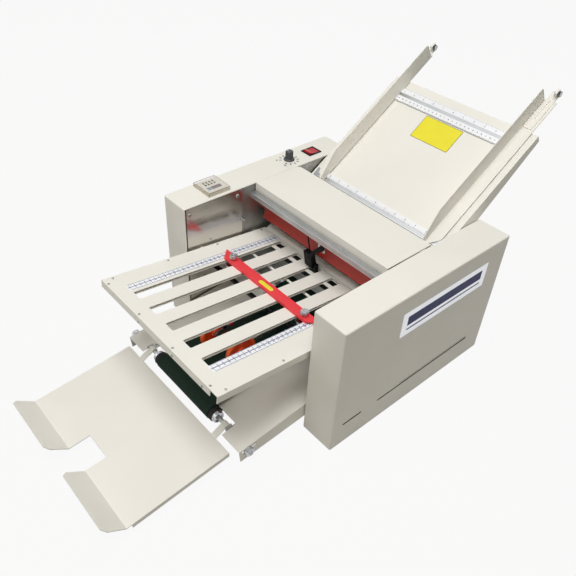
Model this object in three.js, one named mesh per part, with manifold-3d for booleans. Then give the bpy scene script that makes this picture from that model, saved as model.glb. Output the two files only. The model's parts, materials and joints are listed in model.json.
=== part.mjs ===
import * as THREE from 'three';
import { mergeVertices } from 'three/addons/utils/BufferGeometryUtils.js';
import Module from 'manifold-3d';

// A table-top paper folding machine with a friction feed and two fold plates.
// Lengths are millimetres. +X is the operator's right, +Y is the rear, +Z is up.
// Z is zero on the table, and Y is zero at the front faces of the two side housings
// until the last lines, which bring the middle of the machine's length to the origin.

const wasm = await Module();
wasm.setup();

// Clearances and common stock

const seatGap = 0.3;
const overrun = 5;
const sheet = 1.5;
const bendRadius = 2.5;

// Facets around round parts, fewest on the thin ones

const wireFacets = 8;
const pinFacets = 12;
const shaftFacets = 14;
const facets = 16;
const rollerFacets = 20;
const wheelFacets = 28;
const motorFacets = 32;

// Side housings

const housing = {
  innerX: 175.3,
  width: 67.3,
  length: 420,
  height: 276.5,
  bottomZ: 2,
  louvreZ: 50,
  louvreHeight: 3.6,
  louvreStartY: 111,
  louvreRearInset: 50,
  shortLouvreStartY: 25,
  shortLouvreEndY: 71,
  lipSlotRise: 6,
  lipSlotHeight: 1.2,
  lipSlotStartY: 169,
};

const frame = {
  recess: 1.5,
  thickness: 6,
  endInset: 6,
  bottomZ: 10,
  flangeThickness: 3,
  tabReach: 8.8,
  tabThickness: 3,
  tabInset: 32.5,
  tabLength: 50,
};

const innerPlate = {
  thickness: 1.2,
  startY: 4,
  barGap: 18,
  bottomZ: 20,
  topInset: 2.1,
};

const footStrip = {
  width: 24,
  inset: 22,
  endInset: 25,
};

const basePlate = {
  rollerReach: 20,
  rearInset: 12,
  bottomZ: 13,
  flangeHeight: 32,
};

// Top cover, grooved bar, roller guard and paper sensor

const topCover = {
  leftGap: 0.3,
  rightGap: 2.8,
  rollerReach: 58.5,
  length: 113.5,
  frontFlange: 24.5,
  rearFlange: 14,
  cornerRadius: 9,
};

const bar = {
  coverGap: 3.5,
  depth: 12,
  topDrop: 15.5,
  height: 10,
  grooveWidth: 1.6,
  grooveDepth: 1.2,
  grooveCount: 3,
};

const guard = {
  sideGap: 10.3,
  pivotReach: 38,
  pivotRise: 60.5,
  pinRadius: 3,
  lowerRun: 8,
  lowerDrop: 17,
  upperRun: 9,
  upperRise: 30,
  lipReach: 5,
};

const sensor = {
  leftX: -19,
  rightX: 1,
  barInset: 6,
  depth: 12,
  lean: 7,
  barDrop: 44,
  height: 34,
  footLeftX: -2,
  footRightX: 8,
  footInset: 3,
  footDepth: 7,
  footDrop: 9,
  strapRise: 35,
  strapReach: 31,
  strapWidth: 8,
  strapThickness: 1.9,
  wireRadius: 1.4,
  wireSteps: 24,
};

const sensorBracket = {
  leftX: 16,
  rightX: 34,
  height: 22,
  slotWidth: 8,
  slotHeight: 7,
  slotLift: 7,
};

// Front fold plate: two slotted sheets with a gap between them for the paper

const foldPlate = {
  rollerGap: 35.76,
  rollerRise: 10.82,
  tilt: -6.17,
  sideGap: 5.3,
  length: 372,
  sideDepth: 14,
  frontDepth: 13.5,
  frontFlangeGap: 24.3,
  slotPitch: 50,
  slotCount: 5,
  slotWidth: 22,
  slotStart: 28,
  slotEndInset: 8,
  bridgeInset: 22,
  bridgeLength: 9,
  channel: 3,
  lowerFront: 8,
  spacerInset: 18,
  lipRun: 11,
  lipRise: 8,
  lipInset: 5,
  rodRadius: 2.5,
  rodInset: 74,
  rodDrop: 13,
  pinRadius: 3,
  pinDrop: 8,
  frontPinY: 38.3,
  rearPinReach: 56.5,
};

const stopBar = {
  frontHalf: 115,
  rearHalf: 135,
  frontAlong: 224.5,
  rearAlong: 245.5,
  topLift: 5.2,
  fingerHalf: 7,
  fingerReach: 8,
  fingerThickness: 1.5,
  clampRadius: 2.5,
};

const stopScrew = {
  knobRadius: 8,
  knobBottom: 5.5,
  knobTop: 15,
  ridges: 18,
  ridgeShare: 0.9,
  washerRadius: 14,
  washerThickness: 2,
};

// Feed tray with its rails, side guides and the guides' extensions

const feedTray = {
  rearInset: 89,
  topDrop: 21,
  tilt: 33.74,
  sideGap: 1.3,
  lowerEnd: -90,
  upperEnd: 268,
  flangeStart: -60,
  flangeDeep: 30,
  flangeShallow: 15,
  taperStart: 90,
  endFlange: 8,
  notchHalf: 32,
  notchEnd: -60,
  pinRadius: 4,
  lowerPinAlong: -50,
  lowerPinDrop: 10,
  upperPinAlong: 10,
  upperPinDrop: 15,
};

const rail = {
  lowerSideGap: 7.3,
  upperSideGap: 15.3,
  thickness: 2,
  lowerStart: -14.6,
  lowerEnd: 4,
  upperStart: 216,
  upperEnd: 248.5,
  grooveWidth: 1.2,
  grooveDepth: 0.8,
  groovePitch: 3,
  lowerGroove: 3,
  upperGroove: 15,
};

const guide = {
  innerX: 135.5,
  wall: 1.5,
  height: 38,
  noseHeight: 12,
  noseStart: -23,
  kneeAlong: 38.5,
  wallEnd: 339,
  cornerRadius: 5,
  baseEnd: 343,
  flangeWidth: 24,
  noseWidth: 10,
  noseFlange: -15,
  shoulderAlong: 0,
  baseLift: 2.6,
};

const extension = {
  innerX: 138.5,
  width: 17.5,
  thickness: 1.5,
  start: 271,
  end: 361,
  slotOffset: 8.1,
  slotWidth: 2.6,
  slotStartInset: 23,
  slotEndInset: 20,
  lugWidth: 5,
  lugLength: 12,
  lugHeight: 14,
};

const lockScrew = {
  shaftRadius: 2.2,
  inward: 4,
  headRadius: 5.5,
  headLength: 5,
  ridges: 14,
  ridgeShare: 0.88,
};

// Rear fold plate below the feed tray

const rearPlate = {
  sideGap: 22.3,
  drop: 38,
  channel: 4.5,
  start: -122,
  end: 112,
  railWidth: 3,
  slotHalf: 3.3,
  slotStart: -40,
  slotEnd: 95,
  mouthFlare: 6,
  mouthRun: 8,
  pinRadius: 3,
  lowerPinAlong: -60,
  upperPinAlong: 30,
};

const rearStop = {
  along: 62,
  depth: 8,
  stemRadius: 2.6,
  knobRadius: 9,
  knobHeight: 9,
  ridges: 16,
  ridgeShare: 0.9,
};

// Rollers, gears and motor

const roller = {
  radius: 16,
  sideGap: 10.3,
  shaftRadius: 6,
  rearInset: 194,
  topDrop: 122,
  nipGap: 0.4,
  upperAngle: 104,
  secondAngle: -80,
  lowerAngle: -84,
};

const feedRoller = {
  radius: 20,
  along: -75,
  halfLength: 60,
  hubRadius: 9,
  hubHalf: 72,
  shaftRadius: 5,
};

const separator = {
  depth: 10,
  endInset: 6,
  length: 20,
};

const gear = {
  teeth: 24,
  width: 11,
  standOff: 1.2,
  tipShare: 0.12,
  rootShare: 0.31,
  addendumShare: 1,
  dedendumShare: 1.25,
};

const pinion = {
  teeth: 12,
  angle: 10,
  shaftRadius: 3,
};

const motor = {
  radius: 29,
  length: 38,
  faceGap: 4,
  postRadius: 4,
  postCircle: 24,
  postAngles: [85, 0, -65],
  bossRadius: 8,
};

// Delivery plate, belt conveyor, press wheels and exit tray

const delivery = {
  frontAlong: -16.5,
  rollerGap: 27.8,
  sideGap: 2.6,
  notchHalf: 125,
  notchBack: 15,
  notchRadius: 8,
  flangeFront: 26.5,
  flangeRear: 31.7,
  flangeKnee: 138,
  slotStart: -11,
  slotEnd: 19,
  slotDrop: 7,
  slotHalf: 3.3,
  pinRadius: 3,
  pinDrop: 14,
  frontPinY: 34.6,
  rearPinReach: 41,
};

const conveyor = {
  rollerReach: 50.04,
  rollerDrop: 11.59,
  frontZ: 45,
  length: 312.8,
  beltRadius: 14,
  beltThickness: 2,
  beltHalf: 78,
  ringRadius: 13,
  ringHalf: 88,
  hubRadius: 11,
  hubHalf: 95,
  hubRecess: 2.5,
  hubRecessRadius: 8.5,
  shaftRadius: 4,
  shaftHalf: 124,
};

const tensionBracket = {
  thickness: 7.7,
  lugThickness: 3,
  lugHead: 6.5,
  backAlong: 28,
  barFront: 17.5,
  studRadius: 3,
  studReach: 11.5,
};

const tensionNut = {
  radius: 8.5,
  length: 8,
  ridges: 20,
  ridgeShare: 0.92,
};

const pressWheel = {
  radius: 31,
  thickness: 9,
  centreX: 33.5,
  reach: { left: 111.4, right: 104 },
  boreRadius: 3.3,
  dishDepth: 2,
  dishRadius: 24,
  hubRadius: 8,
  holeRadius: 3.6,
  holeCircle: 15.5,
  holeCount: 3,
  holeAngles: { left: 133, right: 90 },
};

const pressShaft = {
  y: 72,
  lift: 42.76,
  radius: 5,
};

const pressArm = {
  thickness: 3,
  hubRadius: 8,
  hubLength: 9,
  tipRadius: 6,
  pinHeadRadius: 5,
  pinHead: 1.5,
};

const exitTray = {
  halfWidth: 158.5,
  rollerGap: 26,
  rollerDrop: 8.5,
  length: 192.7,
  bendZ: 16.5,
  tipLength: 35.8,
  tipZ: 45,
  notchHalf: 28,
  notchDepth: 38.7,
  flangeDepth: 9,
  flangeFrontInset: 10,
  tipChamfer: 8,
  hookInnerX: 108,
  hookOuterX: 121,
  hookWrap: 1.6,
  hookFront: 155,
  hookRear: -40,
};

// Controls on the left housing

const knob = {
  wallInset: 31.7,
  rearInset: 138,
  skirtRadius: 11.5,
  skirtHeight: 4,
  bodyRadius: 8,
  height: 20,
  ridges: 18,
  ridgeShare: 0.9,
  shaftRadius: 3,
  shaftDepth: 14,
  pointerWidth: 1.2,
  pointerDepth: 0.6,
};

const rocker = {
  wallInset: 30.7,
  rearInset: 76,
  halfX: 10.5,
  halfY: 12.5,
  crown: 4,
  dip: 1.2,
  depth: 10,
  swingGap: 1.5,
};

const counter = {
  wallInset: 33.7,
  y: 86,
  halfX: 26,
  halfY: 25,
  baseHeight: 2.4,
  blockInset: 4,
  blockHeight: 6.4,
  bodyInset: 6,
  bodyDepth: 22,
  coverHeight: 9,
  coverWall: 1.2,
};

const inlet = {
  wallInset: 33.7,
  z: 56,
  flangeHalfX: 24,
  flangeHalfZ: 12,
  flangeThickness: 2.5,
  bodyHalfX: 14,
  bodyHalfZ: 10.5,
  bodyDepth: 20,
  socketHalfX: 11.5,
  socketHalfZ: 7.5,
  socketDepth: 14,
  pinHalfWidth: 2,
  pinHalfThickness: 1,
  pinLength: 9,
  pinPitch: 7,
  pinOffset: 2.5,
};

// Materials

function finish(color, roughness, metalness) {
  return new THREE.MeshStandardMaterial({ color, roughness, metalness });
}

const ivoryPaint = finish(0xefece2, 0.55, 0);
const polishedSteel = finish(0x9c9a96, 0.28, 0.9);
const zincSteel = finish(0x8c8c88, 0.45, 0.8);
const aluminium = finish(0xc4c8cb, 0.35, 0.85);
const brightSteel = finish(0xcfd2d4, 0.22, 0.95);
const redPaint = finish(0xef3f48, 0.5, 0);
const darkRedPaint = finish(0x8f2a22, 0.5, 0);
const orangePlastic = finish(0xe0501a, 0.45, 0);
const greenBelt = finish(0x1c2e22, 0.75, 0);
const blackPlastic = finish(0x18181a, 0.5, 0);
const blackRubber = finish(0x1b1b1b, 0.8, 0);
const grayRubber = finish(0x5d5f60, 0.8, 0);
const redPlastic = finish(0xc8141c, 0.35, 0);
const creamPlastic = finish(0xd9d4c4, 0.4, 0);
const whitePlastic = finish(0xe6e6e0, 0.5, 0);
const clearPlastic = finish(0xe8e8e4, 0.1, 0);
clearPlastic.transparent = true;
clearPlastic.opacity = 0.4;

// Solids from three.js geometry

function solidOf(geometry) {
  const bare = geometry.index ? geometry.toNonIndexed() : geometry;
  bare.deleteAttribute('normal');
  bare.deleteAttribute('uv');
  const merged = mergeVertices(bare);
  const source = merged.index.array;
  const kept = [];
  for (let i = 0; i < source.length; i += 3) {
    const [a, b, c] = [source[i], source[i + 1], source[i + 2]];
    if (a !== b && b !== c && c !== a) kept.push(a, b, c);
  }
  const vertProperties = new Float32Array(merged.attributes.position.array);
  return new wasm.Manifold(new wasm.Mesh({ numProp: 3, vertProperties, triVerts: new Uint32Array(kept) }));
}

function joined(solids) {
  return solids.reduce((whole, piece) => whole.add(piece));
}

function block(x0, x1, y0, y1, z0, z1) {
  const box = new THREE.BoxGeometry(x1 - x0, y1 - y0, z1 - z0);
  box.translate((x0 + x1) / 2, (y0 + y1) / 2, (z0 + z1) / 2);
  return solidOf(box);
}

function outlineShape(points, holes = []) {
  const shape = new THREE.Shape(points.map(([u, v]) => new THREE.Vector2(u, v)));
  for (const hole of holes) shape.holes.push(new THREE.Path(hole.map(([u, v]) => new THREE.Vector2(u, v))));
  return shape;
}

function extruded(shape, depth) {
  return new THREE.ExtrudeGeometry(shape, { depth, bevelEnabled: false });
}

const axisX = new THREE.Vector3(1, 0, 0);
const axisY = new THREE.Vector3(0, 1, 0);
const axisZ = new THREE.Vector3(0, 0, 1);

// An outline of [y, z] points, run from x0 to x1
function prismX(points, x0, x1, holes = []) {
  const geometry = extruded(outlineShape(points, holes), x1 - x0);
  geometry.applyMatrix4(new THREE.Matrix4().makeBasis(axisY, axisZ, axisX));
  geometry.translate(x0, 0, 0);
  return solidOf(geometry);
}

// An outline of [x, z] points, run from y0 to y1
function prismY(points, y0, y1, holes = []) {
  const geometry = extruded(outlineShape(points, holes), y1 - y0);
  geometry.applyMatrix4(new THREE.Matrix4().makeBasis(axisX, axisZ, axisY.clone().negate()));
  geometry.translate(0, y1, 0);
  return solidOf(geometry);
}

// An outline of [x, y] points, run from z0 to z1
function prismZ(points, z0, z1, holes = []) {
  const geometry = extruded(outlineShape(points, holes), z1 - z0);
  geometry.translate(0, 0, z0);
  return solidOf(geometry);
}

function circle(u, v, radius, sides) {
  const points = [];
  for (let i = 0; i < sides; i += 1) {
    const turn = 2 * Math.PI * i / sides;
    points.push([u + radius * Math.cos(turn), v + radius * Math.sin(turn)]);
  }
  return points;
}

function arc(u, v, radius, fromDegrees, toDegrees, steps) {
  const points = [];
  for (let i = 0; i <= steps; i += 1) {
    const turn = (fromDegrees + (toDegrees - fromDegrees) * i / steps) * Math.PI / 180;
    points.push([u + radius * Math.cos(turn), v + radius * Math.sin(turn)]);
  }
  return points;
}

function roundedRectangle(u0, u1, v0, v1, radius, steps) {
  return [
    ...arc(u1 - radius, v0 + radius, radius, -90, 0, steps),
    ...arc(u1 - radius, v1 - radius, radius, 0, 90, steps),
    ...arc(u0 + radius, v1 - radius, radius, 90, 180, steps),
    ...arc(u0 + radius, v0 + radius, radius, 180, 270, steps),
  ];
}

function rectangle(u0, u1, v0, v1) {
  return [[u0, v0], [u1, v0], [u1, v1], [u0, v1]];
}

function knurl(u, v, radius, ridges, valleyShare) {
  const points = [];
  for (let i = 0; i < 2 * ridges; i += 1) {
    const reach = i % 2 === 0 ? radius : radius * valleyShare;
    const turn = Math.PI * i / ridges;
    points.push([u + reach * Math.cos(turn), v + reach * Math.sin(turn)]);
  }
  return points;
}

// A profile of [radius, along] points that starts and ends on the axis
function turned(profile, sides) {
  return new THREE.LatheGeometry(profile.map(([r, a]) => new THREE.Vector2(r, a)), sides);
}

function turnedX(profile, y, z, sides) {
  const geometry = turned(profile, sides);
  geometry.rotateZ(-Math.PI / 2);
  geometry.translate(0, y, z);
  return solidOf(geometry);
}

function turnedZ(profile, x, y, sides) {
  const geometry = turned(profile, sides);
  geometry.rotateX(Math.PI / 2);
  geometry.translate(x, y, 0);
  return solidOf(geometry);
}

function rod(x0, x1, y, z, radius, sides) {
  return prismX(circle(y, z, radius, sides), x0, x1);
}

function tubeAlong(points, radius, sides, steps) {
  const path = new THREE.CatmullRomCurve3(points.map(([x, y, z]) => new THREE.Vector3(x, y, z)));
  const section = new THREE.Shape(circle(0, 0, radius, sides).map(([u, v]) => new THREE.Vector2(u, v)));
  return solidOf(new THREE.ExtrudeGeometry(section, { steps, extrudePath: path, bevelEnabled: false }));
}

const machine = new THREE.Group();

function addPart(name, solid, material, parent = machine) {
  const result = solid.getMesh();
  const geometry = new THREE.BufferGeometry();
  geometry.setAttribute('position', new THREE.BufferAttribute(result.vertProperties, 3));
  geometry.setIndex(new THREE.BufferAttribute(result.triVerts, 1));
  geometry.computeVertexNormals();
  const mesh = new THREE.Mesh(geometry, material);
  mesh.name = name;
  parent.add(mesh);
  return mesh;
}

// A sloping plane: along runs up its length, lift is square to it
function slope(y, z, degrees) {
  const group = new THREE.Group();
  const tilt = degrees * Math.PI / 180;
  group.position.set(0, y, z);
  group.rotation.x = tilt;
  machine.add(group);
  const place = (along, lift) => [
    y + along * Math.cos(tilt) - lift * Math.sin(tilt),
    z + along * Math.sin(tilt) + lift * Math.cos(tilt),
  ];
  const alongAt = (placeY, lift) => (placeY - y + lift * Math.sin(tilt)) / Math.cos(tilt);
  return { group, place, alongAt };
}

const sides = [
  { side: 'left', sign: -1 },
  { side: 'right', sign: 1 },
];

// Lowest and highest of two x values that are given for the right side
function spanX(sign, near, far) {
  return sign > 0 ? [near, far] : [-far, -near];
}

// Where the shafts and pins meet the side frames

const frameInnerX = housing.innerX + frame.recess;
const frameOuterX = frameInnerX + frame.thickness;
const housingOuterX = housing.innerX + housing.width;
const pinEndX = frameOuterX - sheet;
const guardHalf = housing.innerX - guard.sideGap;
const foldHalf = housing.innerX - foldPlate.sideGap;
const trayHalf = housing.innerX - feedTray.sideGap;
const lowerRailHalf = housing.innerX - rail.lowerSideGap;
const upperRailHalf = housing.innerX - rail.upperSideGap;
const rearHalf = housing.innerX - rearPlate.sideGap;
const rollerHalf = housing.innerX - roller.sideGap;
const deliveryHalf = housing.innerX - delivery.sideGap;
const knobX = -housing.innerX - knob.wallInset;
const rockerX = -housing.innerX - rocker.wallInset;
const counterX = -housing.innerX - counter.wallInset;
const inletX = -housing.innerX - inlet.wallInset;
const rollerPitch = 2 * roller.radius + roller.nipGap;

function stepFrom([y, z], distance, degrees) {
  const turn = degrees * Math.PI / 180;
  return [y + distance * Math.cos(turn), z + distance * Math.sin(turn)];
}

// Places that follow the housings' length and height, by way of the main roller

const mainAxis = [housing.length - roller.rearInset, housing.height - roller.topDrop];
const [mainY, mainZ] = mainAxis;
const topCoverFrontY = mainY - topCover.rollerReach;
const barRearY = topCoverFrontY - bar.coverGap;
const barFrontY = barRearY - bar.depth;
const barTopZ = housing.height - bar.topDrop;
const barBottomZ = barTopZ - bar.height;
const guardPivotY = mainY - guard.pivotReach;
const guardPivotZ = mainZ + guard.pivotRise;
const liningEndY = barFrontY - innerPlate.barGap;
const upperAxis = stepFrom(mainAxis, rollerPitch, roller.upperAngle);
const secondAxis = stepFrom(mainAxis, rollerPitch, roller.secondAngle);
const lowerAxis = stepFrom(secondAxis, rollerPitch, roller.lowerAngle);
const gearModule = rollerPitch / gear.teeth;
const pinionReach = gearModule * (gear.teeth + pinion.teeth) / 2;
const pinionAxis = stepFrom(lowerAxis, pinionReach, pinion.angle);

const foldEnd = [mainY - foldPlate.rollerGap, mainZ + foldPlate.rollerRise];
const foldFront = stepFrom(foldEnd, -foldPlate.length, foldPlate.tilt);
const foldSlope = slope(...foldFront, foldPlate.tilt);
const foldFrontPin = foldSlope.alongAt(foldPlate.frontPinY, -foldPlate.pinDrop);
const foldRearPin = foldSlope.alongAt(mainY - foldPlate.rearPinReach, -foldPlate.pinDrop);

const trayFoot = [housing.length - feedTray.rearInset, housing.height - feedTray.topDrop];
const traySlope = slope(...trayFoot, feedTray.tilt);
const feedAxis = traySlope.place(feedRoller.along, feedRoller.radius + seatGap);

const rearRollerAxis = [lowerAxis[0] - conveyor.rollerReach, lowerAxis[1] - conveyor.rollerDrop];
const beltTilt = Math.asin((rearRollerAxis[1] - conveyor.frontZ) / conveyor.length) * 180 / Math.PI;
const frontRollerAxis = stepFrom(rearRollerAxis, -conveyor.length, beltTilt);
const beltSlope = slope(...frontRollerAxis, beltTilt);
const deliveryEnd = conveyor.length - delivery.rollerGap;
const deliveryFrontPin = beltSlope.alongAt(delivery.frontPinY, -delivery.pinDrop);
const deliveryRearPin = beltSlope.alongAt(rearRollerAxis[0] - delivery.rearPinReach, -delivery.pinDrop);
const pressAxis = beltSlope.place(beltSlope.alongAt(pressShaft.y, pressShaft.lift), pressShaft.lift);

const wireEndY = (barRearY + topCoverFrontY) / 2;
const wireEndZ = (barBottomZ + barTopZ) / 2;

const shaftHoles = [
  { at: mainAxis, radius: roller.shaftRadius, sides: shaftFacets },
  { at: upperAxis, radius: roller.shaftRadius, sides: shaftFacets },
  { at: secondAxis, radius: roller.shaftRadius, sides: shaftFacets },
  { at: lowerAxis, radius: roller.shaftRadius, sides: shaftFacets },
  { at: feedAxis, radius: feedRoller.shaftRadius, sides: shaftFacets },
  { at: rearRollerAxis, radius: conveyor.shaftRadius, sides: shaftFacets },
];

const trayPin = (along, lift, radius) => ({ at: traySlope.place(along, lift), radius, sides: pinFacets });

const pinHoles = [
  { at: pressAxis, radius: pressShaft.radius, sides: pinFacets },
  { at: [guardPivotY, guardPivotZ], radius: guard.pinRadius, sides: pinFacets },
  { at: foldSlope.place(foldFrontPin, -foldPlate.pinDrop), radius: foldPlate.pinRadius, sides: pinFacets },
  { at: foldSlope.place(foldRearPin, -foldPlate.pinDrop), radius: foldPlate.pinRadius, sides: pinFacets },
  trayPin(feedTray.lowerPinAlong, -feedTray.lowerPinDrop, feedTray.pinRadius),
  trayPin(feedTray.upperPinAlong, -feedTray.upperPinDrop, feedTray.pinRadius),
  trayPin(rearPlate.lowerPinAlong, -rearPlate.drop, rearPlate.pinRadius),
  trayPin(rearPlate.upperPinAlong, -rearPlate.drop, rearPlate.pinRadius),
  { at: beltSlope.place(deliveryFrontPin, -delivery.pinDrop), radius: delivery.pinRadius, sides: pinFacets },
  { at: beltSlope.place(deliveryRearPin, -delivery.pinDrop), radius: delivery.pinRadius, sides: pinFacets },
];

const wireHole = { at: [wireEndY, wireEndZ], radius: sensor.wireRadius, sides: wireFacets };

// A plate from x0 to x1, less a bore with clearance for each shaft or pin
function bored(plate, x0, x1, holes) {
  return holes.reduce((solid, { at, radius, sides: boreSides }) => (
    solid.subtract(rod(x0 - overrun, x1 + overrun, ...at, radius + seatGap, boreSides))
  ), plate);
}

// Housing covers: bent sheet shells, open below and towards the paper path

function housingBlock(x0, x1, y0, y1, z0, z1, radius, sign) {
  const steps = 3;
  const overX = sign > 0 ? x0 - overrun : x1 + overrun;
  const [sideX0, sideX1] = sign > 0 ? [overX, x1] : [x0, overX];
  const fromFront = prismY(roundedRectangle(sideX0, sideX1, z0 - overrun, z1, radius, steps), y0, y1);
  const fromTop = prismZ(roundedRectangle(sideX0, sideX1, y0, y1, radius, steps), z0 - overrun, z1);
  const fromSide = prismX(roundedRectangle(y0, y1, z0 - overrun, z1, radius, steps), x0, x1);
  const bounds = block(x0, x1, y0, y1, z0, z1);
  return fromFront.intersect(fromTop).intersect(fromSide).intersect(bounds);
}

function coverShell(sign) {
  const [x0, x1] = spanX(sign, housing.innerX, housingOuterX);
  const { bottomZ } = housing;
  const outer = housingBlock(x0, x1, 0, housing.length, bottomZ, housing.height, bendRadius, sign);
  const [i0, i1] = spanX(sign, housing.innerX - overrun, housingOuterX - sheet);
  const top = housing.height - sheet;
  const rear = housing.length - sheet;
  const inner = housingBlock(i0, i1, sheet, rear, bottomZ - overrun, top, bendRadius - sheet, sign);
  const [c0, c1] = spanX(sign, housingOuterX - sheet - overrun, housingOuterX + overrun);
  const louvre = housing.louvreZ;
  const lip = louvre + housing.lipSlotRise;
  const louvreEnd = housing.length - housing.louvreRearInset;
  const cuts = [
    block(c0, c1, housing.louvreStartY, louvreEnd, louvre, louvre + housing.louvreHeight),
    block(c0, c1, housing.shortLouvreStartY, housing.shortLouvreEndY, louvre, louvre + housing.louvreHeight),
    block(c0, c1, housing.lipSlotStartY, louvreEnd, lip, lip + housing.lipSlotHeight),
  ];
  return cuts.reduce((shell, cut) => shell.subtract(cut), outer.subtract(inner));
}

const coverTop = housing.height;
const underCover = housing.height - sheet;
const knobY = housing.length - knob.rearInset;
const rockerY = housing.length - rocker.rearInset;

function leftCover() {
  const bodyX = counter.halfX - counter.bodyInset + seatGap;
  const bodyY = counter.halfY - counter.bodyInset + seatGap;
  const z0 = underCover - overrun;
  const z1 = coverTop + overrun;
  const rockerHalf = rocker.halfX + seatGap;
  const rockerSwing = rocker.halfY + rocker.swingGap;
  const inletHalf = inlet.bodyHalfX + seatGap;
  const inletZ = inlet.bodyHalfZ + seatGap;
  const rearY0 = housing.length - sheet - overrun;
  const rearY1 = housing.length + overrun;
  const counterHole = rectangle(counterX - bodyX, counterX + bodyX, counter.y - bodyY, counter.y + bodyY);
  const rockerHoleX = [rockerX - rockerHalf, rockerX + rockerHalf];
  const rockerHole = rectangle(...rockerHoleX, rockerY - rockerSwing, rockerY + rockerSwing);
  const knobHole = circle(knobX, knobY, knob.shaftRadius + seatGap, facets);
  const inletHole = rectangle(inletX - inletHalf, inletX + inletHalf, inlet.z - inletZ, inlet.z + inletZ);
  return coverShell(-1)
    .subtract(joined([counterHole, rockerHole, knobHole].map((hole) => prismZ(hole, z0, z1))))
    .subtract(prismY(inletHole, rearY0, rearY1));
}

addPart('left_cover', leftCover(), ivoryPaint);
addPart('right_cover', coverShell(1), ivoryPaint);

// Side frames: thick plates with a foot flange and a tab for the top cover

function sideFrame(sign) {
  const [x0, x1] = spanX(sign, frameInnerX, frameOuterX);
  const y0 = frame.endInset;
  const y1 = housing.length - frame.endInset;
  const top = underCover - seatGap;
  const holes = [...shaftHoles, ...pinHoles, ...(sign < 0 ? [wireHole] : [])];
  const plate = bored(block(x0, x1, y0, y1, frame.bottomZ, top), x0, x1, holes);
  const flangeX = spanX(sign, frameInnerX, housingOuterX - sheet - seatGap);
  const flange = block(...flangeX, y0, y1, frame.bottomZ, frame.bottomZ + frame.flangeThickness);
  const tabX = spanX(sign, frameInnerX - frame.tabReach, frameOuterX);
  const tabY = topCoverFrontY + frame.tabInset;
  const tab = block(...tabX, tabY, tabY + frame.tabLength, top - frame.tabThickness, top);
  return joined([plate, flange, tab]);
}

// Polished plates that line the inner walls in front

function liningPlate(sign) {
  const [x0, x1] = spanX(sign, housing.innerX, housing.innerX + innerPlate.thickness);
  const { startY, bottomZ, topInset } = innerPlate;
  const plate = block(x0, x1, startY, liningEndY, bottomZ, coverTop - topInset);
  return bored(plate, x0, x1, [...shaftHoles, ...pinHoles]);
}

function footStripSolid(sign) {
  const outerX = housingOuterX - footStrip.inset;
  const [x0, x1] = spanX(sign, outerX - footStrip.width, outerX);
  return block(x0, x1, footStrip.endInset, housing.length - footStrip.endInset, 0, frame.bottomZ);
}

for (const { side, sign } of sides) {
  addPart(`${side}_side_frame`, sideFrame(sign), zincSteel);
  addPart(`${side}_inner_plate`, liningPlate(sign), polishedSteel);
  addPart(`foot_strip_${side}`, footStripSolid(sign), blackRubber);
}

function basePlateSolid() {
  const half = frameInnerX - seatGap;
  const { bottomZ, flangeHeight } = basePlate;
  const startY = rearRollerAxis[0] - basePlate.rollerReach;
  const endY = housing.length - basePlate.rearInset;
  const floor = block(-half, half, startY, endY, bottomZ, bottomZ + sheet);
  const flanges = sides.map(({ sign }) => (
    block(...spanX(sign, half - sheet, half), startY, endY, bottomZ, bottomZ + flangeHeight)
  ));
  return joined([floor, ...flanges]);
}

addPart('base_plate', basePlateSolid(), zincSteel);

// Top cover over the feed roller

function topCoverSolid() {
  const { cornerRadius } = topCover;
  const leftX = -housing.innerX + topCover.leftGap;
  const rightX = housing.innerX - topCover.rightGap;
  const frontY = topCoverFrontY;
  const rearY = frontY + topCover.length;
  const outline = [
    [leftX, frontY],
    [rightX, frontY],
    [rightX, rearY],
    ...arc(leftX + cornerRadius, rearY - cornerRadius, cornerRadius, 90, 180, 4),
  ];
  const top = prismZ(outline, underCover, coverTop);
  const frontBottom = coverTop - topCover.frontFlange;
  const rearBottom = coverTop - topCover.rearFlange;
  const front = block(leftX, rightX, frontY, frontY + sheet, frontBottom, coverTop);
  const rear = block(leftX + cornerRadius, rightX, rearY - sheet, rearY, rearBottom, coverTop);
  return joined([top, front, rear]);
}

addPart('top_cover', topCoverSolid(), ivoryPaint);

// Grooved bar from wall to wall

function profileBarSolid() {
  const half = frameInnerX - seatGap;
  const whole = block(-half, half, barFrontY, barRearY, barBottomZ, barTopZ);
  const pitchY = bar.depth / (bar.grooveCount + 1);
  const end = half + overrun;
  const w = bar.grooveWidth / 2;
  const cuts = [];
  for (let i = 1; i <= bar.grooveCount; i += 1) {
    const y = barFrontY + pitchY * i;
    cuts.push(block(-end, end, y - w, y + w, barTopZ - bar.grooveDepth, barTopZ + overrun));
  }
  const z = (barBottomZ + barTopZ) / 2;
  cuts.push(block(-end, end, barFrontY - overrun, barFrontY + bar.grooveDepth, z - w, z + w));
  return cuts.reduce((solid, cut) => solid.subtract(cut), whole);
}

addPart('profile_bar', profileBarSolid(), aluminium);

// Red guard in front of the upper rollers, hung on two end pins

function guardSolid() {
  const { lipReach, pinRadius } = guard;
  const [pivotY, pivotZ] = [guardPivotY, guardPivotZ];
  const [lowerY, lowerZ] = [pivotY - guard.lowerRun, pivotZ - guard.lowerDrop];
  const [upperY, upperZ] = [pivotY + guard.upperRun, pivotZ + guard.upperRise];
  const outline = [
    [lowerY + lipReach, lowerZ - sheet],
    [lowerY + lipReach, lowerZ],
    [lowerY + sheet, lowerZ],
    [pivotY, pivotZ - sheet],
    [upperY + sheet, upperZ],
    [upperY, upperZ],
    [pivotY - sheet, pivotZ],
    [lowerY, lowerZ],
    [lowerY, lowerZ - sheet],
  ];
  const plate = prismX(outline, -guardHalf, guardHalf);
  const pins = sides.map(({ sign }) => (
    rod(...spanX(sign, guardHalf - sheet, pinEndX), pivotY, pivotZ, pinRadius, pinFacets)
  ));
  return joined([plate, ...pins]);
}

addPart('roller_guard', guardSolid(), darkRedPaint);

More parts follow.
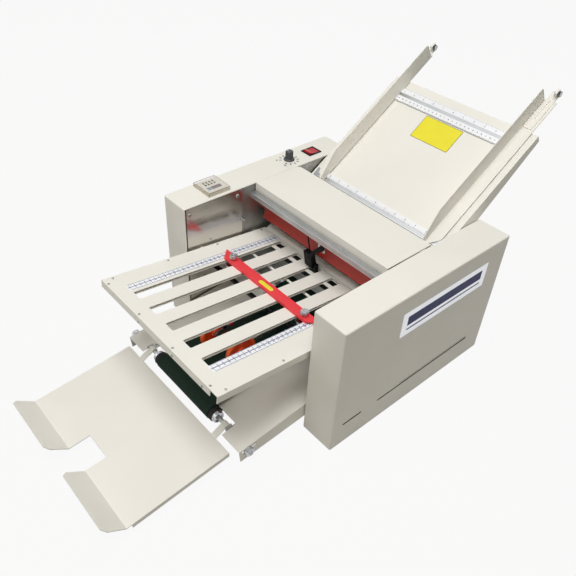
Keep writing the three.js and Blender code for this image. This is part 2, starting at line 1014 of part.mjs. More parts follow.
// Paper sensor with its strap and its lead, held behind the bar as far as the left frame

const sensorFrontY = barFrontY + sensor.barInset;

function sensorBodySolid() {
  const s = sensor;
  const topZ = barBottomZ - s.barDrop;
  const bottomZ = topZ - s.height;
  const bottomY = sensorFrontY + s.lean;
  const body = prismX([
    [sensorFrontY, topZ],
    [bottomY, bottomZ],
    [bottomY + s.depth, bottomZ],
    [sensorFrontY + s.depth, topZ],
  ], s.leftX, s.rightX);
  const footY = bottomY + s.footInset;
  const footX = [s.footLeftX, s.footRightX];
  const foot = block(...footX, footY, footY + s.footDepth, bottomZ - s.footDrop, bottomZ + s.footDrop);
  const strapTop = topZ + s.strapRise;
  const strapRight = s.rightX + s.strapReach;
  const strap = prismY([
    [s.rightX - s.strapWidth, topZ - s.strapWidth],
    [s.rightX, topZ - s.strapWidth],
    [s.rightX + s.strapWidth, topZ + s.strapWidth],
    [strapRight, strapTop - s.strapWidth],
    [strapRight, strapTop],
    [strapRight - s.strapWidth, strapTop],
    [s.rightX, topZ + s.strapWidth],
  ], sensorFrontY, sensorFrontY + s.strapThickness);
  const midX = (s.leftX + s.rightX) / 2;
  const midY = sensorFrontY + s.depth / 2;
  const bendZ = (topZ + wireEndZ) / 2;
  const lead = tubeAlong([
    [midX, midY, topZ - s.wireRadius],
    [midX, midY, topZ + s.strapWidth],
    [midX + s.leftX / 4, midY, bendZ],
    [s.leftX - s.strapWidth / 2, wireEndY, wireEndZ - s.wireRadius],
    [s.leftX - s.strapWidth * 2, wireEndY, wireEndZ],
    [-housing.innerX / 2, wireEndY, wireEndZ],
    [-pinEndX, wireEndY, wireEndZ],
  ], s.wireRadius, wireFacets, s.wireSteps);
  return joined([body, foot, strap, lead]);
}

addPart('sensor_body', sensorBodySolid(), blackPlastic);

function sensorBracketSolid() {
  const { leftX, rightX, slotWidth, slotHeight, slotLift } = sensorBracket;
  const plateY = sensorFrontY + sensor.strapThickness + seatGap;
  const top = barBottomZ - seatGap;
  const bottomZ = barBottomZ - sensorBracket.height;
  const midX = (leftX + rightX) / 2;
  const slotBottom = bottomZ + slotLift;
  const slot = rectangle(midX - slotWidth / 2, midX + slotWidth / 2, slotBottom, slotBottom + slotHeight);
  const plate = prismY(rectangle(leftX, rightX, bottomZ, top), plateY, plateY + sheet, [slot]);
  const ledge = block(leftX, rightX, barFrontY + sheet, plateY + sheet, top - sheet, top);
  return joined([plate, ledge]);
}

addPart('sensor_bracket', sensorBracketSolid(), aluminium);

// Front fold plate

const slotCentres = [];
for (let i = 0; i < foldPlate.slotCount; i += 1) {
  slotCentres.push((i - (foldPlate.slotCount - 1) / 2) * foldPlate.slotPitch);
}

const slotEnd = foldPlate.length - foldPlate.slotEndInset;

function foldPlateTopSolid() {
  const p = foldPlate;
  const half = p.slotWidth / 2;
  const slots = slotCentres.map((x) => roundedRectangle(x - half, x + half, p.slotStart, slotEnd, sheet, 1));
  const top = prismZ(rectangle(-foldHalf, foldHalf, 0, p.length), -sheet, 0, slots);
  const side = sides.map(({ sign }) => (
    block(...spanX(sign, foldHalf - sheet, foldHalf), 0, p.length, -p.sideDepth, 0)
  ));
  const front = block(-foldHalf, housing.innerX - p.frontFlangeGap, 0, sheet, -p.frontDepth, 0);
  const lip = prismX([
    [p.length - sheet, -sheet],
    [p.length, -sheet],
    [p.length + p.lipRun, p.lipRise - sheet],
    [p.length + p.lipRun, p.lipRise],
    [p.length - sheet, 0],
  ], -foldHalf + p.lipInset, foldHalf - p.lipInset);
  const pins = [];
  for (const { sign } of sides) {
    const pinX = spanX(sign, foldHalf - sheet, pinEndX);
    pins.push(rod(...pinX, foldFrontPin, -p.pinDrop, p.pinRadius, pinFacets));
    pins.push(rod(...pinX, foldRearPin, -p.pinDrop, p.pinRadius, pinFacets));
  }
  return joined([top, ...side, front, lip, ...pins]);
}

const lowerTop = -sheet - foldPlate.channel;
const lowerBottom = lowerTop - sheet;

function foldPlateBottomSolid() {
  const p = foldPlate;
  const half = p.slotWidth / 2;
  const edge = foldHalf - sheet - seatGap;
  const bridgeEnd = p.length - p.bridgeInset;
  const bridgeStart = bridgeEnd - p.bridgeLength;
  const rodAlong = p.length - p.rodInset;
  const slots = [];
  for (const x of slotCentres) {
    slots.push(roundedRectangle(x - half, x + half, p.slotStart, bridgeStart, sheet, 1));
    slots.push(roundedRectangle(x - half, x + half, bridgeEnd, slotEnd, sheet, 1));
  }
  const floor = prismZ(rectangle(-edge, edge, p.lowerFront, p.length), lowerBottom, lowerTop, slots);
  const pieces = [floor];
  const rodEnd = edge - sheet;
  for (const { sign } of sides) {
    const spacerX = spanX(sign, edge - p.spacerInset, edge);
    pieces.push(block(...spacerX, p.lowerFront, p.length, lowerBottom, -sheet - seatGap));
    const earX = spanX(sign, edge - 2 * sheet, edge);
    const earHalf = p.rodRadius * 3;
    const earBottom = -p.rodDrop - p.rodRadius;
    pieces.push(block(...earX, rodAlong - earHalf, rodAlong + earHalf, earBottom, lowerTop));
  }
  pieces.push(rod(-rodEnd, rodEnd, rodAlong, -p.rodDrop, p.rodRadius, pinFacets));
  return joined(pieces);
}

addPart('fold_plate_top', foldPlateTopSolid(), ivoryPaint, foldSlope.group);
addPart('fold_plate_bottom', foldPlateBottomSolid(), ivoryPaint, foldSlope.group);

// Stop bar that sets the fold length, with fingers through three of the slots

const clampX = slotCentres[slotCentres.length - 1];
const stopAlong = (stopBar.frontAlong + stopBar.rearAlong) / 2;

function stopBarSolid() {
  const { frontHalf, rearHalf: barHalf, frontAlong, rearAlong, topLift, clampRadius } = stopBar;
  const outline = [
    [-frontHalf, frontAlong],
    [frontHalf, frontAlong],
    [barHalf, rearAlong],
    [-barHalf, rearAlong],
  ];
  const holes = [-clampX, clampX].map((x) => circle(x, stopAlong, clampRadius + seatGap, pinFacets));
  const top = prismZ(outline, topLift - sheet, topLift, holes);
  const lip = block(-frontHalf, frontHalf, frontAlong, frontAlong + sheet, seatGap, topLift);
  const rear = block(-frontHalf, frontHalf, rearAlong - sheet, rearAlong, seatGap, topLift);
  const { fingerHalf, fingerReach, fingerThickness } = stopBar;
  const fingers = slotCentres.slice(1, -1).map((x) => (
    block(x - fingerHalf, x + fingerHalf, rearAlong - fingerThickness, rearAlong, -fingerReach, topLift)
  ));
  return joined([top, lip, rear, ...fingers]);
}

addPart('stop_bar', stopBarSolid(), redPaint, foldSlope.group);

for (const { side, sign } of sides) {
  const x = sign * clampX;
  const { knobRadius, knobBottom, knobTop, ridges, ridgeShare } = stopScrew;
  const { washerRadius, washerThickness } = stopScrew;
  const head = prismZ(knurl(x, stopAlong, knobRadius, ridges, ridgeShare), knobBottom, knobTop);
  const stemBottom = lowerBottom - seatGap - washerThickness;
  const stem = prismZ(circle(x, stopAlong, stopBar.clampRadius, pinFacets), stemBottom, knobTop);
  const washer = prismZ(circle(x, stopAlong, washerRadius, facets), stemBottom, stemBottom + washerThickness);
  addPart(`stop_thumbscrew_${side}`, joined([head, stem, washer]), brightSteel, foldSlope.group);
}

// Feed tray

function feedTraySolid() {
  const t = feedTray;
  const outline = [
    [-trayHalf, t.lowerEnd],
    [-t.notchHalf, t.lowerEnd],
    [-t.notchHalf, t.notchEnd],
    [t.notchHalf, t.notchEnd],
    [t.notchHalf, t.lowerEnd],
    [trayHalf, t.lowerEnd],
    [trayHalf, t.upperEnd],
    [-trayHalf, t.upperEnd],
  ];
  const floor = prismZ(outline, -sheet, 0);
  const flangeOutline = [
    [t.flangeStart, 0],
    [t.flangeStart + t.flangeDeep / 2, -t.flangeDeep],
    [t.taperStart, -t.flangeDeep],
    [t.upperEnd, -t.flangeShallow],
    [t.upperEnd, 0],
  ];
  const pieces = [floor];
  for (const { sign } of sides) {
    pieces.push(prismX(flangeOutline, ...spanX(sign, trayHalf - sheet, trayHalf)));
    const pinX = spanX(sign, trayHalf - sheet, pinEndX);
    pieces.push(rod(...pinX, t.lowerPinAlong, -t.lowerPinDrop, t.pinRadius, pinFacets));
    pieces.push(rod(...pinX, t.upperPinAlong, -t.upperPinDrop, t.pinRadius, pinFacets));
  }
  pieces.push(block(-trayHalf, trayHalf, t.upperEnd - sheet, t.upperEnd, -t.endFlange, 0));
  return joined(pieces);
}

addPart('feed_tray', feedTraySolid(), ivoryPaint, traySlope.group);

function railSolid(half, start, end, firstGroove) {
  const z0 = seatGap;
  const z1 = seatGap + rail.thickness;
  const whole = block(-half, half, start, end, z0, z1);
  const cutHalf = half + overrun;
  const first = start + firstGroove;
  const cuts = [first, first + rail.groovePitch].map((along) => (
    block(-cutHalf, cutHalf, along, along + rail.grooveWidth, z1 - rail.grooveDepth, z1 + overrun)
  ));
  return cuts.reduce((solid, cut) => solid.subtract(cut), whole);
}

const lowerRail = railSolid(lowerRailHalf, rail.lowerStart, rail.lowerEnd, rail.lowerGroove);
const upperRail = railSolid(upperRailHalf, rail.upperStart, rail.upperEnd, rail.upperGroove);
addPart('lower_rail', lowerRail, aluminium, traySlope.group);
addPart('upper_rail', upperRail, aluminium, traySlope.group);

// Side guides, the slotted extensions that slide on them and the screws at the tips

const guideFlangeTop = guide.baseLift + guide.wall;
const guideOuterX = guide.innerX + guide.wall;

function mirrorOutline(points, sign) {
  return sign > 0 ? points : points.map(([x, y]) => [-x, y]).reverse();
}

function guideSolid(sign) {
  const g = guide;
  const wall = prismX([
    [g.noseStart, g.baseLift],
    [g.wallEnd, g.baseLift],
    ...arc(g.wallEnd - g.cornerRadius, g.height - g.cornerRadius, g.cornerRadius, 0, 90, 3),
    [g.kneeAlong, g.height],
    [g.noseStart, g.noseHeight],
  ], ...spanX(sign, g.innerX, guideOuterX));
  const flange = prismZ(mirrorOutline([
    [g.innerX, g.noseStart],
    [guideOuterX, g.noseStart],
    [guideOuterX + g.noseWidth, g.noseFlange],
    [guideOuterX + g.flangeWidth, g.shoulderAlong],
    [guideOuterX + g.flangeWidth, g.baseEnd],
    [g.innerX, g.baseEnd],
  ], sign), g.baseLift, guideFlangeTop);
  return joined([wall, flange]);
}

const extensionBase = guideFlangeTop + seatGap;
const extensionTop = extensionBase + extension.thickness;
const extensionOuterX = extension.innerX + extension.width;
const lugMiddle = extension.end - extension.lugLength / 2;
const lugTop = extensionTop + extension.lugHeight;
const tipScrewLift = lugTop - lockScrew.headRadius;

// Both lugs have their screw's head towards the right, so the left lug is the inner one
function lugSpan(sign) {
  const near = sign > 0 ? extensionOuterX - extension.lugWidth : extension.innerX;
  return spanX(sign, near, near + extension.lugWidth);
}

function extensionSolid(sign) {
  const e = extension;
  const slotX = e.innerX + e.slotOffset;
  const slot = rectangle(slotX, slotX + e.slotWidth, e.start + e.slotStartInset, e.end - e.slotEndInset);
  const outline = rectangle(e.innerX, extensionOuterX, e.start, e.end);
  const slots = [mirrorOutline(slot, sign)];
  const plate = prismZ(mirrorOutline(outline, sign), extensionBase, extensionTop, slots);
  const bore = circle(lugMiddle, tipScrewLift, lockScrew.shaftRadius + seatGap, pinFacets);
  const lugOutline = rectangle(e.end - e.lugLength, e.end, extensionBase, lugTop);
  const lug = prismX(lugOutline, ...lugSpan(sign), [bore]);
  return joined([plate, lug]);
}

function lockScrewSolid(sign) {
  const { shaftRadius, inward, headRadius, headLength, ridges, ridgeShare } = lockScrew;
  const [lugLeft, lugRight] = lugSpan(sign);
  const headStart = lugRight + seatGap;
  const headEnd = headStart + headLength;
  const shaft = rod(lugLeft - inward, headEnd, lugMiddle, tipScrewLift, shaftRadius, pinFacets);
  const outline = knurl(lugMiddle, tipScrewLift, headRadius, ridges, ridgeShare);
  const head = prismX(outline, headStart, headEnd);
  return joined([shaft, head]);
}

for (const { side, sign } of sides) {
  addPart(`side_guide_${side}`, guideSolid(sign), ivoryPaint, traySlope.group);
  addPart(`guide_extension_${side}`, extensionSolid(sign), ivoryPaint, traySlope.group);
  addPart(`guide_lock_screw_${side}`, lockScrewSolid(sign), brightSteel, traySlope.group);
}

// Rear fold plate and its stop

const rearTop = -rearPlate.drop + rearPlate.channel / 2 + sheet;
const rearBottom = -rearPlate.drop - rearPlate.channel / 2 - sheet;

function rearPlateSolid() {
  const p = rearPlate;
  const slot = rectangle(-p.slotHalf, p.slotHalf, p.slotStart, p.slotEnd);
  const outline = rectangle(-rearHalf, rearHalf, p.start, p.end);
  const upper = prismZ(outline, rearTop - sheet, rearTop);
  const lower = prismZ(outline, rearBottom, rearBottom + sheet, [slot]);
  const pieces = [upper, lower];
  for (const { sign } of sides) {
    const railX = spanX(sign, rearHalf - p.railWidth, rearHalf);
    pieces.push(block(...railX, p.start, p.end, rearBottom, rearTop));
    const pinX = spanX(sign, rearHalf - p.railWidth, pinEndX);
    pieces.push(rod(...pinX, p.lowerPinAlong, -p.drop, p.pinRadius, pinFacets));
    pieces.push(rod(...pinX, p.upperPinAlong, -p.drop, p.pinRadius, pinFacets));
  }
  const flare = prismX([
    [p.start, rearBottom + sheet],
    [p.start - p.mouthRun, rearBottom + sheet - p.mouthFlare],
    [p.start - p.mouthRun, rearBottom - p.mouthFlare],
    [p.start, rearBottom],
    [p.start + sheet, rearBottom],
    [p.start + sheet, rearBottom + sheet],
  ], -rearHalf, rearHalf);
  return joined([...pieces, flare]);
}

addPart('rear_fold_plate', rearPlateSolid(), ivoryPaint, traySlope.group);

function rearStopSolid() {
  const { along, depth, stemRadius, knobRadius, knobHeight, ridges, ridgeShare } = rearStop;
  const half = rearHalf - rearPlate.railWidth - 2 * seatGap;
  const stripBottom = rearBottom + sheet + seatGap;
  const stripTop = rearTop - sheet - seatGap;
  const strip = block(-half, half, along - depth / 2, along + depth / 2, stripBottom, stripTop);
  const knobTop = rearBottom - seatGap;
  const stem = prismZ(circle(0, along, stemRadius, pinFacets), knobTop - knobHeight, stripTop);
  const head = prismZ(knurl(0, along, knobRadius, ridges, ridgeShare), knobTop - knobHeight, knobTop);
  return joined([strip, stem, head]);
}

addPart('rear_fold_stop', rearStopSolid(), brightSteel, traySlope.group);

// Feed roller and separator pad

const driveEndX = frameOuterX + gear.standOff + gear.width + sheet;

function feedRollerSolid() {
  const { radius, halfLength, hubRadius, hubHalf, shaftRadius } = feedRoller;
  return turnedX([
    [0, -pinEndX],
    [shaftRadius, -pinEndX],
    [shaftRadius, -hubHalf],
    [hubRadius, -hubHalf],
    [hubRadius, -halfLength],
    [radius, -halfLength],
    [radius, halfLength],
    [hubRadius, halfLength],
    [hubRadius, hubHalf],
    [shaftRadius, hubHalf],
    [shaftRadius, driveEndX],
    [0, driveEndX],
  ], ...feedAxis, rollerFacets);
}

addPart('feed_roller', feedRollerSolid(), grayRubber);

function separatorSolid() {
  const half = feedTray.notchHalf - seatGap;
  const start = feedTray.lowerEnd + separator.endInset;
  return block(-half, half, start, start + separator.length, -separator.depth, 0);
}

addPart('separator_pad', separatorSolid(), blackRubber, traySlope.group);

// Fold rollers with their gears outside the right frame

function foldRollerSolid([y, z]) {
  const { radius, shaftRadius } = roller;
  return turnedX([
    [0, -pinEndX],
    [shaftRadius, -pinEndX],
    [shaftRadius, -rollerHalf],
    [radius, -rollerHalf],
    [radius, rollerHalf],
    [shaftRadius, rollerHalf],
    [shaftRadius, driveEndX],
    [0, driveEndX],
  ], y, z, rollerFacets);
}

function gearOutline([y, z], teeth, phase) {
  const pitchRadius = gearModule * teeth / 2;
  const tip = pitchRadius + gearModule * gear.addendumShare;
  const root = pitchRadius - gearModule * gear.dedendumShare;
  const step = 2 * Math.PI / teeth;
  const points = [];
  for (let i = 0; i < teeth; i += 1) {
    const middle = phase + i * step;
    const corners = [
      [root, middle - gear.rootShare * step],
      [tip, middle - gear.tipShare * step],
      [tip, middle + gear.tipShare * step],
      [root, middle + gear.rootShare * step],
    ];
    for (const [reach, turn] of corners) {
      points.push([y + reach * Math.cos(turn), z + reach * Math.sin(turn)]);
    }
  }
  return points;
}

// The turn of a gear whose teeth sit in the gaps of the gear that drives it
function meshPhase(driverPhase, degrees, driverTeeth, teeth) {
  const line = degrees * Math.PI / 180;
  const driverStep = 2 * Math.PI / driverTeeth;
  const step = 2 * Math.PI / teeth;
  const past = (line - driverPhase) / driverStep;
  return line + Math.PI - step * (0.5 - (past - Math.floor(past)));
}

const gearX0 = frameOuterX + gear.standOff;
const gearX1 = gearX0 + gear.width;

function gearSolid(axis, teeth, phase, shaftRadius) {
  const bore = circle(axis[0], axis[1], shaftRadius + seatGap, pinFacets);
  return prismX(gearOutline(axis, teeth, phase), gearX0, gearX1, [bore]);
}

const mainPhase = 0;
const upperPhase = meshPhase(mainPhase, roller.upperAngle, gear.teeth, gear.teeth);
const secondPhase = meshPhase(mainPhase, roller.secondAngle, gear.teeth, gear.teeth);
const lowerPhase = meshPhase(secondPhase, roller.lowerAngle, gear.teeth, gear.teeth);
const pinionPhase = meshPhase(lowerPhase, pinion.angle, gear.teeth, pinion.teeth);

const foldRollers = [
  { name: 'upper', axis: upperAxis, phase: upperPhase, finish: grayRubber },
  { name: 'main', axis: mainAxis, phase: mainPhase, finish: brightSteel },
  { name: 'second', axis: secondAxis, phase: secondPhase, finish: grayRubber },
  { name: 'lower', axis: lowerAxis, phase: lowerPhase, finish: grayRubber },
];

for (const item of foldRollers) {
  addPart(`${item.name}_fold_roller`, foldRollerSolid(item.axis), item.finish);
  const gearWheel = gearSolid(item.axis, gear.teeth, item.phase, roller.shaftRadius);
  addPart(`${item.name}_gear`, gearWheel, whitePlastic);
}

// Motor on three posts, and the pinion on its shaft

const motorFaceX = driveEndX + motor.faceGap;

function pinionSolid() {
  const [y, z] = pinionAxis;
  const teeth = prismX(gearOutline(pinionAxis, pinion.teeth, pinionPhase), gearX0, gearX1);
  return teeth.add(rod(gearX0, motorFaceX + motor.faceGap, y, z, pinion.shaftRadius, pinFacets));
}

function motorSolid() {
  const [y, z] = pinionAxis;
  const body = rod(motorFaceX, motorFaceX + motor.length, y, z, motor.radius, motorFacets);
  const bossX = [motorFaceX - motor.faceGap / 2, motorFaceX + motor.faceGap];
  const boss = rod(...bossX, y, z, motor.bossRadius, facets);
  const posts = motor.postAngles.map((degrees) => {
    const [postY, postZ] = stepFrom(pinionAxis, motor.postCircle, degrees);
    return rod(frameOuterX + seatGap, motorFaceX + motor.faceGap, postY, postZ, motor.postRadius, pinFacets);
  });
  const bore = rod(gearX0, motorFaceX + 2 * motor.faceGap, y, z, pinion.shaftRadius + seatGap, pinFacets);
  return joined([body, boss, ...posts]).subtract(bore);
}

addPart('motor_pinion', pinionSolid(), brightSteel);
addPart('drive_motor', motorSolid(), zincSteel);

// Delivery plate

function deliverySolid() {
  const d = delivery;
  const r = d.notchRadius;
  const outline = [
    [deliveryHalf, d.frontAlong],
    [deliveryHalf, deliveryEnd],
    [-deliveryHalf, deliveryEnd],
    [-deliveryHalf, d.frontAlong],
    [-d.notchHalf, d.frontAlong],
    ...arc(-d.notchHalf + r, d.notchBack - r, r, 180, 90, 4),
    ...arc(d.notchHalf - r, d.notchBack - r, r, 90, 0, 4),
    [d.notchHalf, d.frontAlong],
  ];
  const floor = prismZ(outline, -sheet, 0);
  const flangeOutline = [
    [d.frontAlong, 0],
    [d.frontAlong, -d.flangeFront],
    [d.flangeKnee, -d.flangeRear],
    [deliveryEnd, -d.flangeRear],
    [deliveryEnd, 0],
  ];
  const slotTop = -d.slotDrop + d.slotHalf;
  const slotBottom = -d.slotDrop - d.slotHalf;
  const slot = rectangle(d.slotStart, d.slotEnd, slotBottom, slotTop);
  const pieces = [floor];
  for (const { sign } of sides) {
    pieces.push(prismX(flangeOutline, ...spanX(sign, deliveryHalf - sheet, deliveryHalf), [slot]));
    const pinX = spanX(sign, deliveryHalf - sheet, pinEndX);
    pieces.push(rod(...pinX, deliveryFrontPin, -d.pinDrop, d.pinRadius, pinFacets));
    pieces.push(rod(...pinX, deliveryRearPin, -d.pinDrop, d.pinRadius, pinFacets));
  }
  return joined(pieces);
}

addPart('delivery_plate', deliverySolid(), ivoryPaint, beltSlope.group);

// Conveyor: a flat belt around the delivery plate, a driven rear roller, and a front
// roller that turns freely on a fixed shaft

const beltInner = conveyor.beltRadius - conveyor.beltThickness;
const coreRadius = beltInner - seatGap;

function stadium(radius) {
  return [
    ...arc(conveyor.length, 0, radius, -90, 90, pinFacets),
    ...arc(0, 0, radius, 90, 270, pinFacets),
  ];
}

function beltSolid() {
  return prismX(stadium(conveyor.beltRadius), -conveyor.beltHalf, conveyor.beltHalf, [stadium(beltInner)]);
}

addPart('conveyor_belt', beltSolid(), greenBelt, beltSlope.group);

function conveyorTubeProfile(innerRadius) {
  const c = conveyor;
  const ringStart = c.beltHalf + 2 * seatGap;
  return [
    [innerRadius, -c.hubHalf + c.hubRecess],
    [c.hubRecessRadius, -c.hubHalf + c.hubRecess],
    [c.hubRecessRadius, -c.hubHalf],
    [c.hubRadius, -c.hubHalf],
    [c.hubRadius, -c.ringHalf],
    [c.ringRadius, -c.ringHalf],
    [c.ringRadius, -ringStart],
    [coreRadius, -ringStart],
    [coreRadius, ringStart],
    [c.ringRadius, ringStart],
    [c.ringRadius, c.ringHalf],
    [c.hubRadius, c.ringHalf],
    [c.hubRadius, c.hubHalf],
    [c.hubRecessRadius, c.hubHalf],
    [c.hubRecessRadius, c.hubHalf - c.hubRecess],
    [innerRadius, c.hubHalf - c.hubRecess],
  ];
}

const frontTube = conveyorTubeProfile(conveyor.shaftRadius + seatGap);
const frontRollerSolid = turnedX([...frontTube, frontTube[0]], 0, 0, rollerFacets);
addPart('conveyor_front_roller', frontRollerSolid, brightSteel, beltSlope.group);

const rearRollerProfile = [
  [0, -pinEndX],
  [conveyor.shaftRadius, -pinEndX],
  ...conveyorTubeProfile(conveyor.shaftRadius),
  [conveyor.shaftRadius, driveEndX],
  [0, driveEndX],
];
addPart('conveyor_rear_roller', turnedX(rearRollerProfile, ...rearRollerAxis, rollerFacets), brightSteel);

// Bracket with the front roller's shaft, which clamps in the delivery plate's slots

function tensionBracketSolid() {
  const b = tensionBracket;
  const top = -sheet - seatGap;
  const bottom = top - b.thickness;
  const endX = deliveryHalf - sheet - seatGap;
  const lugX = conveyor.shaftHalf - b.lugThickness;
  const bridge = block(-endX, endX, b.barFront, b.backAlong, bottom, top);
  const shaft = rod(-conveyor.shaftHalf, conveyor.shaftHalf, 0, 0, conveyor.shaftRadius, facets);
  const lugOutline = [
    [b.backAlong, bottom],
    [b.backAlong, top],
    [delivery.notchBack - delivery.notchRadius, top],
    [b.lugHead, b.lugHead],
    [-b.lugHead, b.lugHead],
    [-b.lugHead, bottom],
  ];
  const pieces = [bridge, shaft];
  for (const { sign } of sides) {
    pieces.push(prismX(lugOutline, ...spanX(sign, lugX, conveyor.shaftHalf)));
    const armX = spanX(sign, endX - b.lugHead, endX);
    pieces.push(block(...armX, -b.lugHead, b.backAlong, bottom, top));
    const studX = spanX(sign, endX - b.lugThickness, deliveryHalf + b.studReach);
    pieces.push(rod(...studX, 0, -delivery.slotDrop, b.studRadius, pinFacets));
  }
  return joined(pieces);
}

addPart('tension_bracket', tensionBracketSolid(), zincSteel, beltSlope.group);

for (const { side, sign } of sides) {
  const start = deliveryHalf + seatGap;
  const bore = circle(0, -delivery.slotDrop, tensionBracket.studRadius + seatGap, pinFacets);
  const outline = knurl(0, -delivery.slotDrop, tensionNut.radius, tensionNut.ridges, tensionNut.ridgeShare);
  const nut = prismX(outline, ...spanX(sign, start, start + tensionNut.length), [bore]);
  addPart(`tension_nut_${side}`, nut, brightSteel, beltSlope.group);
}

// Press wheels on swinging arms

const wheelLift = conveyor.beltRadius + pressWheel.radius + seatGap;
const pressShaftSolid = rod(-pinEndX, pinEndX, ...pressAxis, pressShaft.radius, pinFacets);
addPart('press_wheel_shaft', pressShaftSolid, brightSteel);

function pressWheelSolid(x, wheelAxis, holeAngle) {
  const { radius, thickness, boreRadius, dishDepth, dishRadius, hubRadius } = pressWheel;
  const half = thickness / 2;
  const profile = [
    [0, -half],
    [hubRadius, -half],
    [hubRadius, -half + dishDepth],
    [dishRadius, -half + dishDepth],
    [dishRadius, -half],
    [radius - sheet, -half],
    [radius, -half + sheet],
    [radius, half - sheet],
    [radius - sheet, half],
    [dishRadius, half],
    [dishRadius, half - dishDepth],
    [hubRadius, half - dishDepth],
    [hubRadius, half],
    [0, half],
  ];
  const wheel = turnedX(profile, ...wheelAxis, wheelFacets).translate([x, 0, 0]);
  const x0 = x - half - overrun;
  const x1 = x + half + overrun;
  const cuts = [rod(x0, x1, ...wheelAxis, boreRadius, pinFacets)];
  for (let i = 0; i < pressWheel.holeCount; i += 1) {
    const at = stepFrom(wheelAxis, pressWheel.holeCircle, holeAngle + 360 * i / pressWheel.holeCount);
    cuts.push(rod(x0, x1, ...at, pressWheel.holeRadius, pinFacets));
  }
  return cuts.reduce((solid, cut) => solid.subtract(cut), wheel);
}

// The arm lies between its wheel and the middle of the machine
function pressArmSolid(x, sign, wheelAxis) {
  const a = pressArm;
  const side = pressWheel.thickness / 2 + seatGap;
  const inward = (near, far) => (sign > 0 ? [x - far, x - near] : [x + near, x + far]);
  const [wheelY, wheelZ] = wheelAxis;
  const [y, z] = pressAxis;
  const lean = Math.atan2(wheelZ - z, y - wheelY) * 180 / Math.PI;
  const strip = prismX([
    ...arc(y, z, a.hubRadius, -90 - lean, 90 - lean, 8),
    ...arc(wheelY, wheelZ, a.tipRadius, 90 - lean, 270 - lean, 8),
  ], ...inward(side, side + a.thickness));
  const hub = rod(...inward(side, side + a.hubLength), y, z, a.hubRadius, facets);
  const innerEnd = side + a.thickness + a.pinHead;
  const axleRadius = pressWheel.boreRadius - seatGap;
  const axle = rod(...inward(-side - a.pinHead, innerEnd), wheelY, wheelZ, axleRadius, pinFacets);
  const outerHead = rod(...inward(-side - a.pinHead, -side), wheelY, wheelZ, a.pinHeadRadius, pinFacets);
  const innerHead = rod(...inward(side, innerEnd), wheelY, wheelZ, a.pinHeadRadius, pinFacets);
  const boreX = inward(side - overrun, side + a.hubLength + overrun);
  const bore = rod(...boreX, y, z, pressShaft.radius + seatGap, pinFacets);
  return joined([strip, hub, axle, outerHead, innerHead]).subtract(bore);
}

for (const { side, sign } of sides) {
  const x = sign * pressWheel.centreX;
  const wheelAlong = beltSlope.alongAt(pressShaft.y - pressWheel.reach[side], wheelLift);
  const wheelAxis = beltSlope.place(wheelAlong, wheelLift);
  addPart(`press_wheel_${side}`, pressWheelSolid(x, wheelAxis, pressWheel.holeAngles[side]), orangePlastic);
  addPart(`press_arm_${side}`, pressArmSolid(x, sign, wheelAxis), zincSteel);
}

// Exit tray, hooked over the front roller's shaft

function exitTraySolid() {
  const t = exitTray;
  const [frontY, frontZ] = frontRollerAxis;
  const innerY = frontY - t.rollerGap;
  const innerZ = frontZ - t.rollerDrop;
  const bendY = innerY - t.length;
  const tipY = bendY - t.tipLength;
  const slopeTurn = Math.atan2(innerZ - t.bendZ, t.length);
  const drop = sheet / Math.cos(slopeTurn);
  const flapTurn = Math.atan2(t.tipZ - t.bendZ, t.tipLength);
  const nudge = sheet * Math.tan((slopeTurn + flapTurn) / 2);
  const plate = prismX([
    [innerY, innerZ],
    [bendY, t.bendZ],
    [tipY, t.tipZ],
    [tipY - sheet * Math.sin(flapTurn), t.tipZ - sheet * Math.cos(flapTurn)],
    [bendY - nudge / 2, t.bendZ - drop],
    [innerY, innerZ - drop],
  ], -t.halfWidth, t.halfWidth);
  const notchY = [tipY - overrun, bendY + t.notchDepth];
  const notch = block(-t.notchHalf, t.notchHalf, ...notchY, -overrun, t.tipZ + overrun);
  const corners = [-t.halfWidth, -t.notchHalf, t.notchHalf, t.halfWidth].map((x) => prismZ([
    [x - t.tipChamfer, tipY - overrun],
    [x + t.tipChamfer, tipY - overrun],
    [x + t.tipChamfer, tipY - sheet],
    [x, tipY - sheet + t.tipChamfer],
    [x - t.tipChamfer, tipY - sheet],
  ], -overrun, t.tipZ + overrun));
  const flangeY = bendY + t.flangeFrontInset;
  const flangeZ = t.bendZ + t.flangeFrontInset * Math.tan(slopeTurn);
  const flangeOutline = [
    [innerY, innerZ],
    [flangeY, flangeZ],
    [flangeY, flangeZ - t.flangeDepth],
    [innerY, innerZ - t.flangeDepth],
  ];
  const pieces = [[notch, ...corners].reduce((solid, cut) => solid.subtract(cut), plate)];
  const inner = conveyor.shaftRadius + seatGap;
  const outer = inner + t.hookWrap;
  const hookOutline = [
    ...arc(frontY, frontZ, outer, t.hookRear, t.hookFront, pinFacets),
    [innerY, innerZ],
    [innerY - t.flangeDepth, innerZ - t.flangeDepth * Math.tan(slopeTurn)],
    [innerY - t.flangeDepth, innerZ - drop - t.flangeDepth * Math.tan(slopeTurn)],
    [innerY, innerZ - drop],
    ...arc(frontY, frontZ, inner, t.hookFront, t.hookRear, pinFacets),
  ];
  for (const { sign } of sides) {
    pieces.push(prismX(flangeOutline, ...spanX(sign, t.halfWidth - sheet, t.halfWidth)));
    pieces.push(prismX(hookOutline, ...spanX(sign, t.hookInnerX, t.hookOuterX - seatGap)));
  }
  return joined(pieces);
}

addPart('exit_tray', exitTraySolid(), ivoryPaint);

// Speed knob

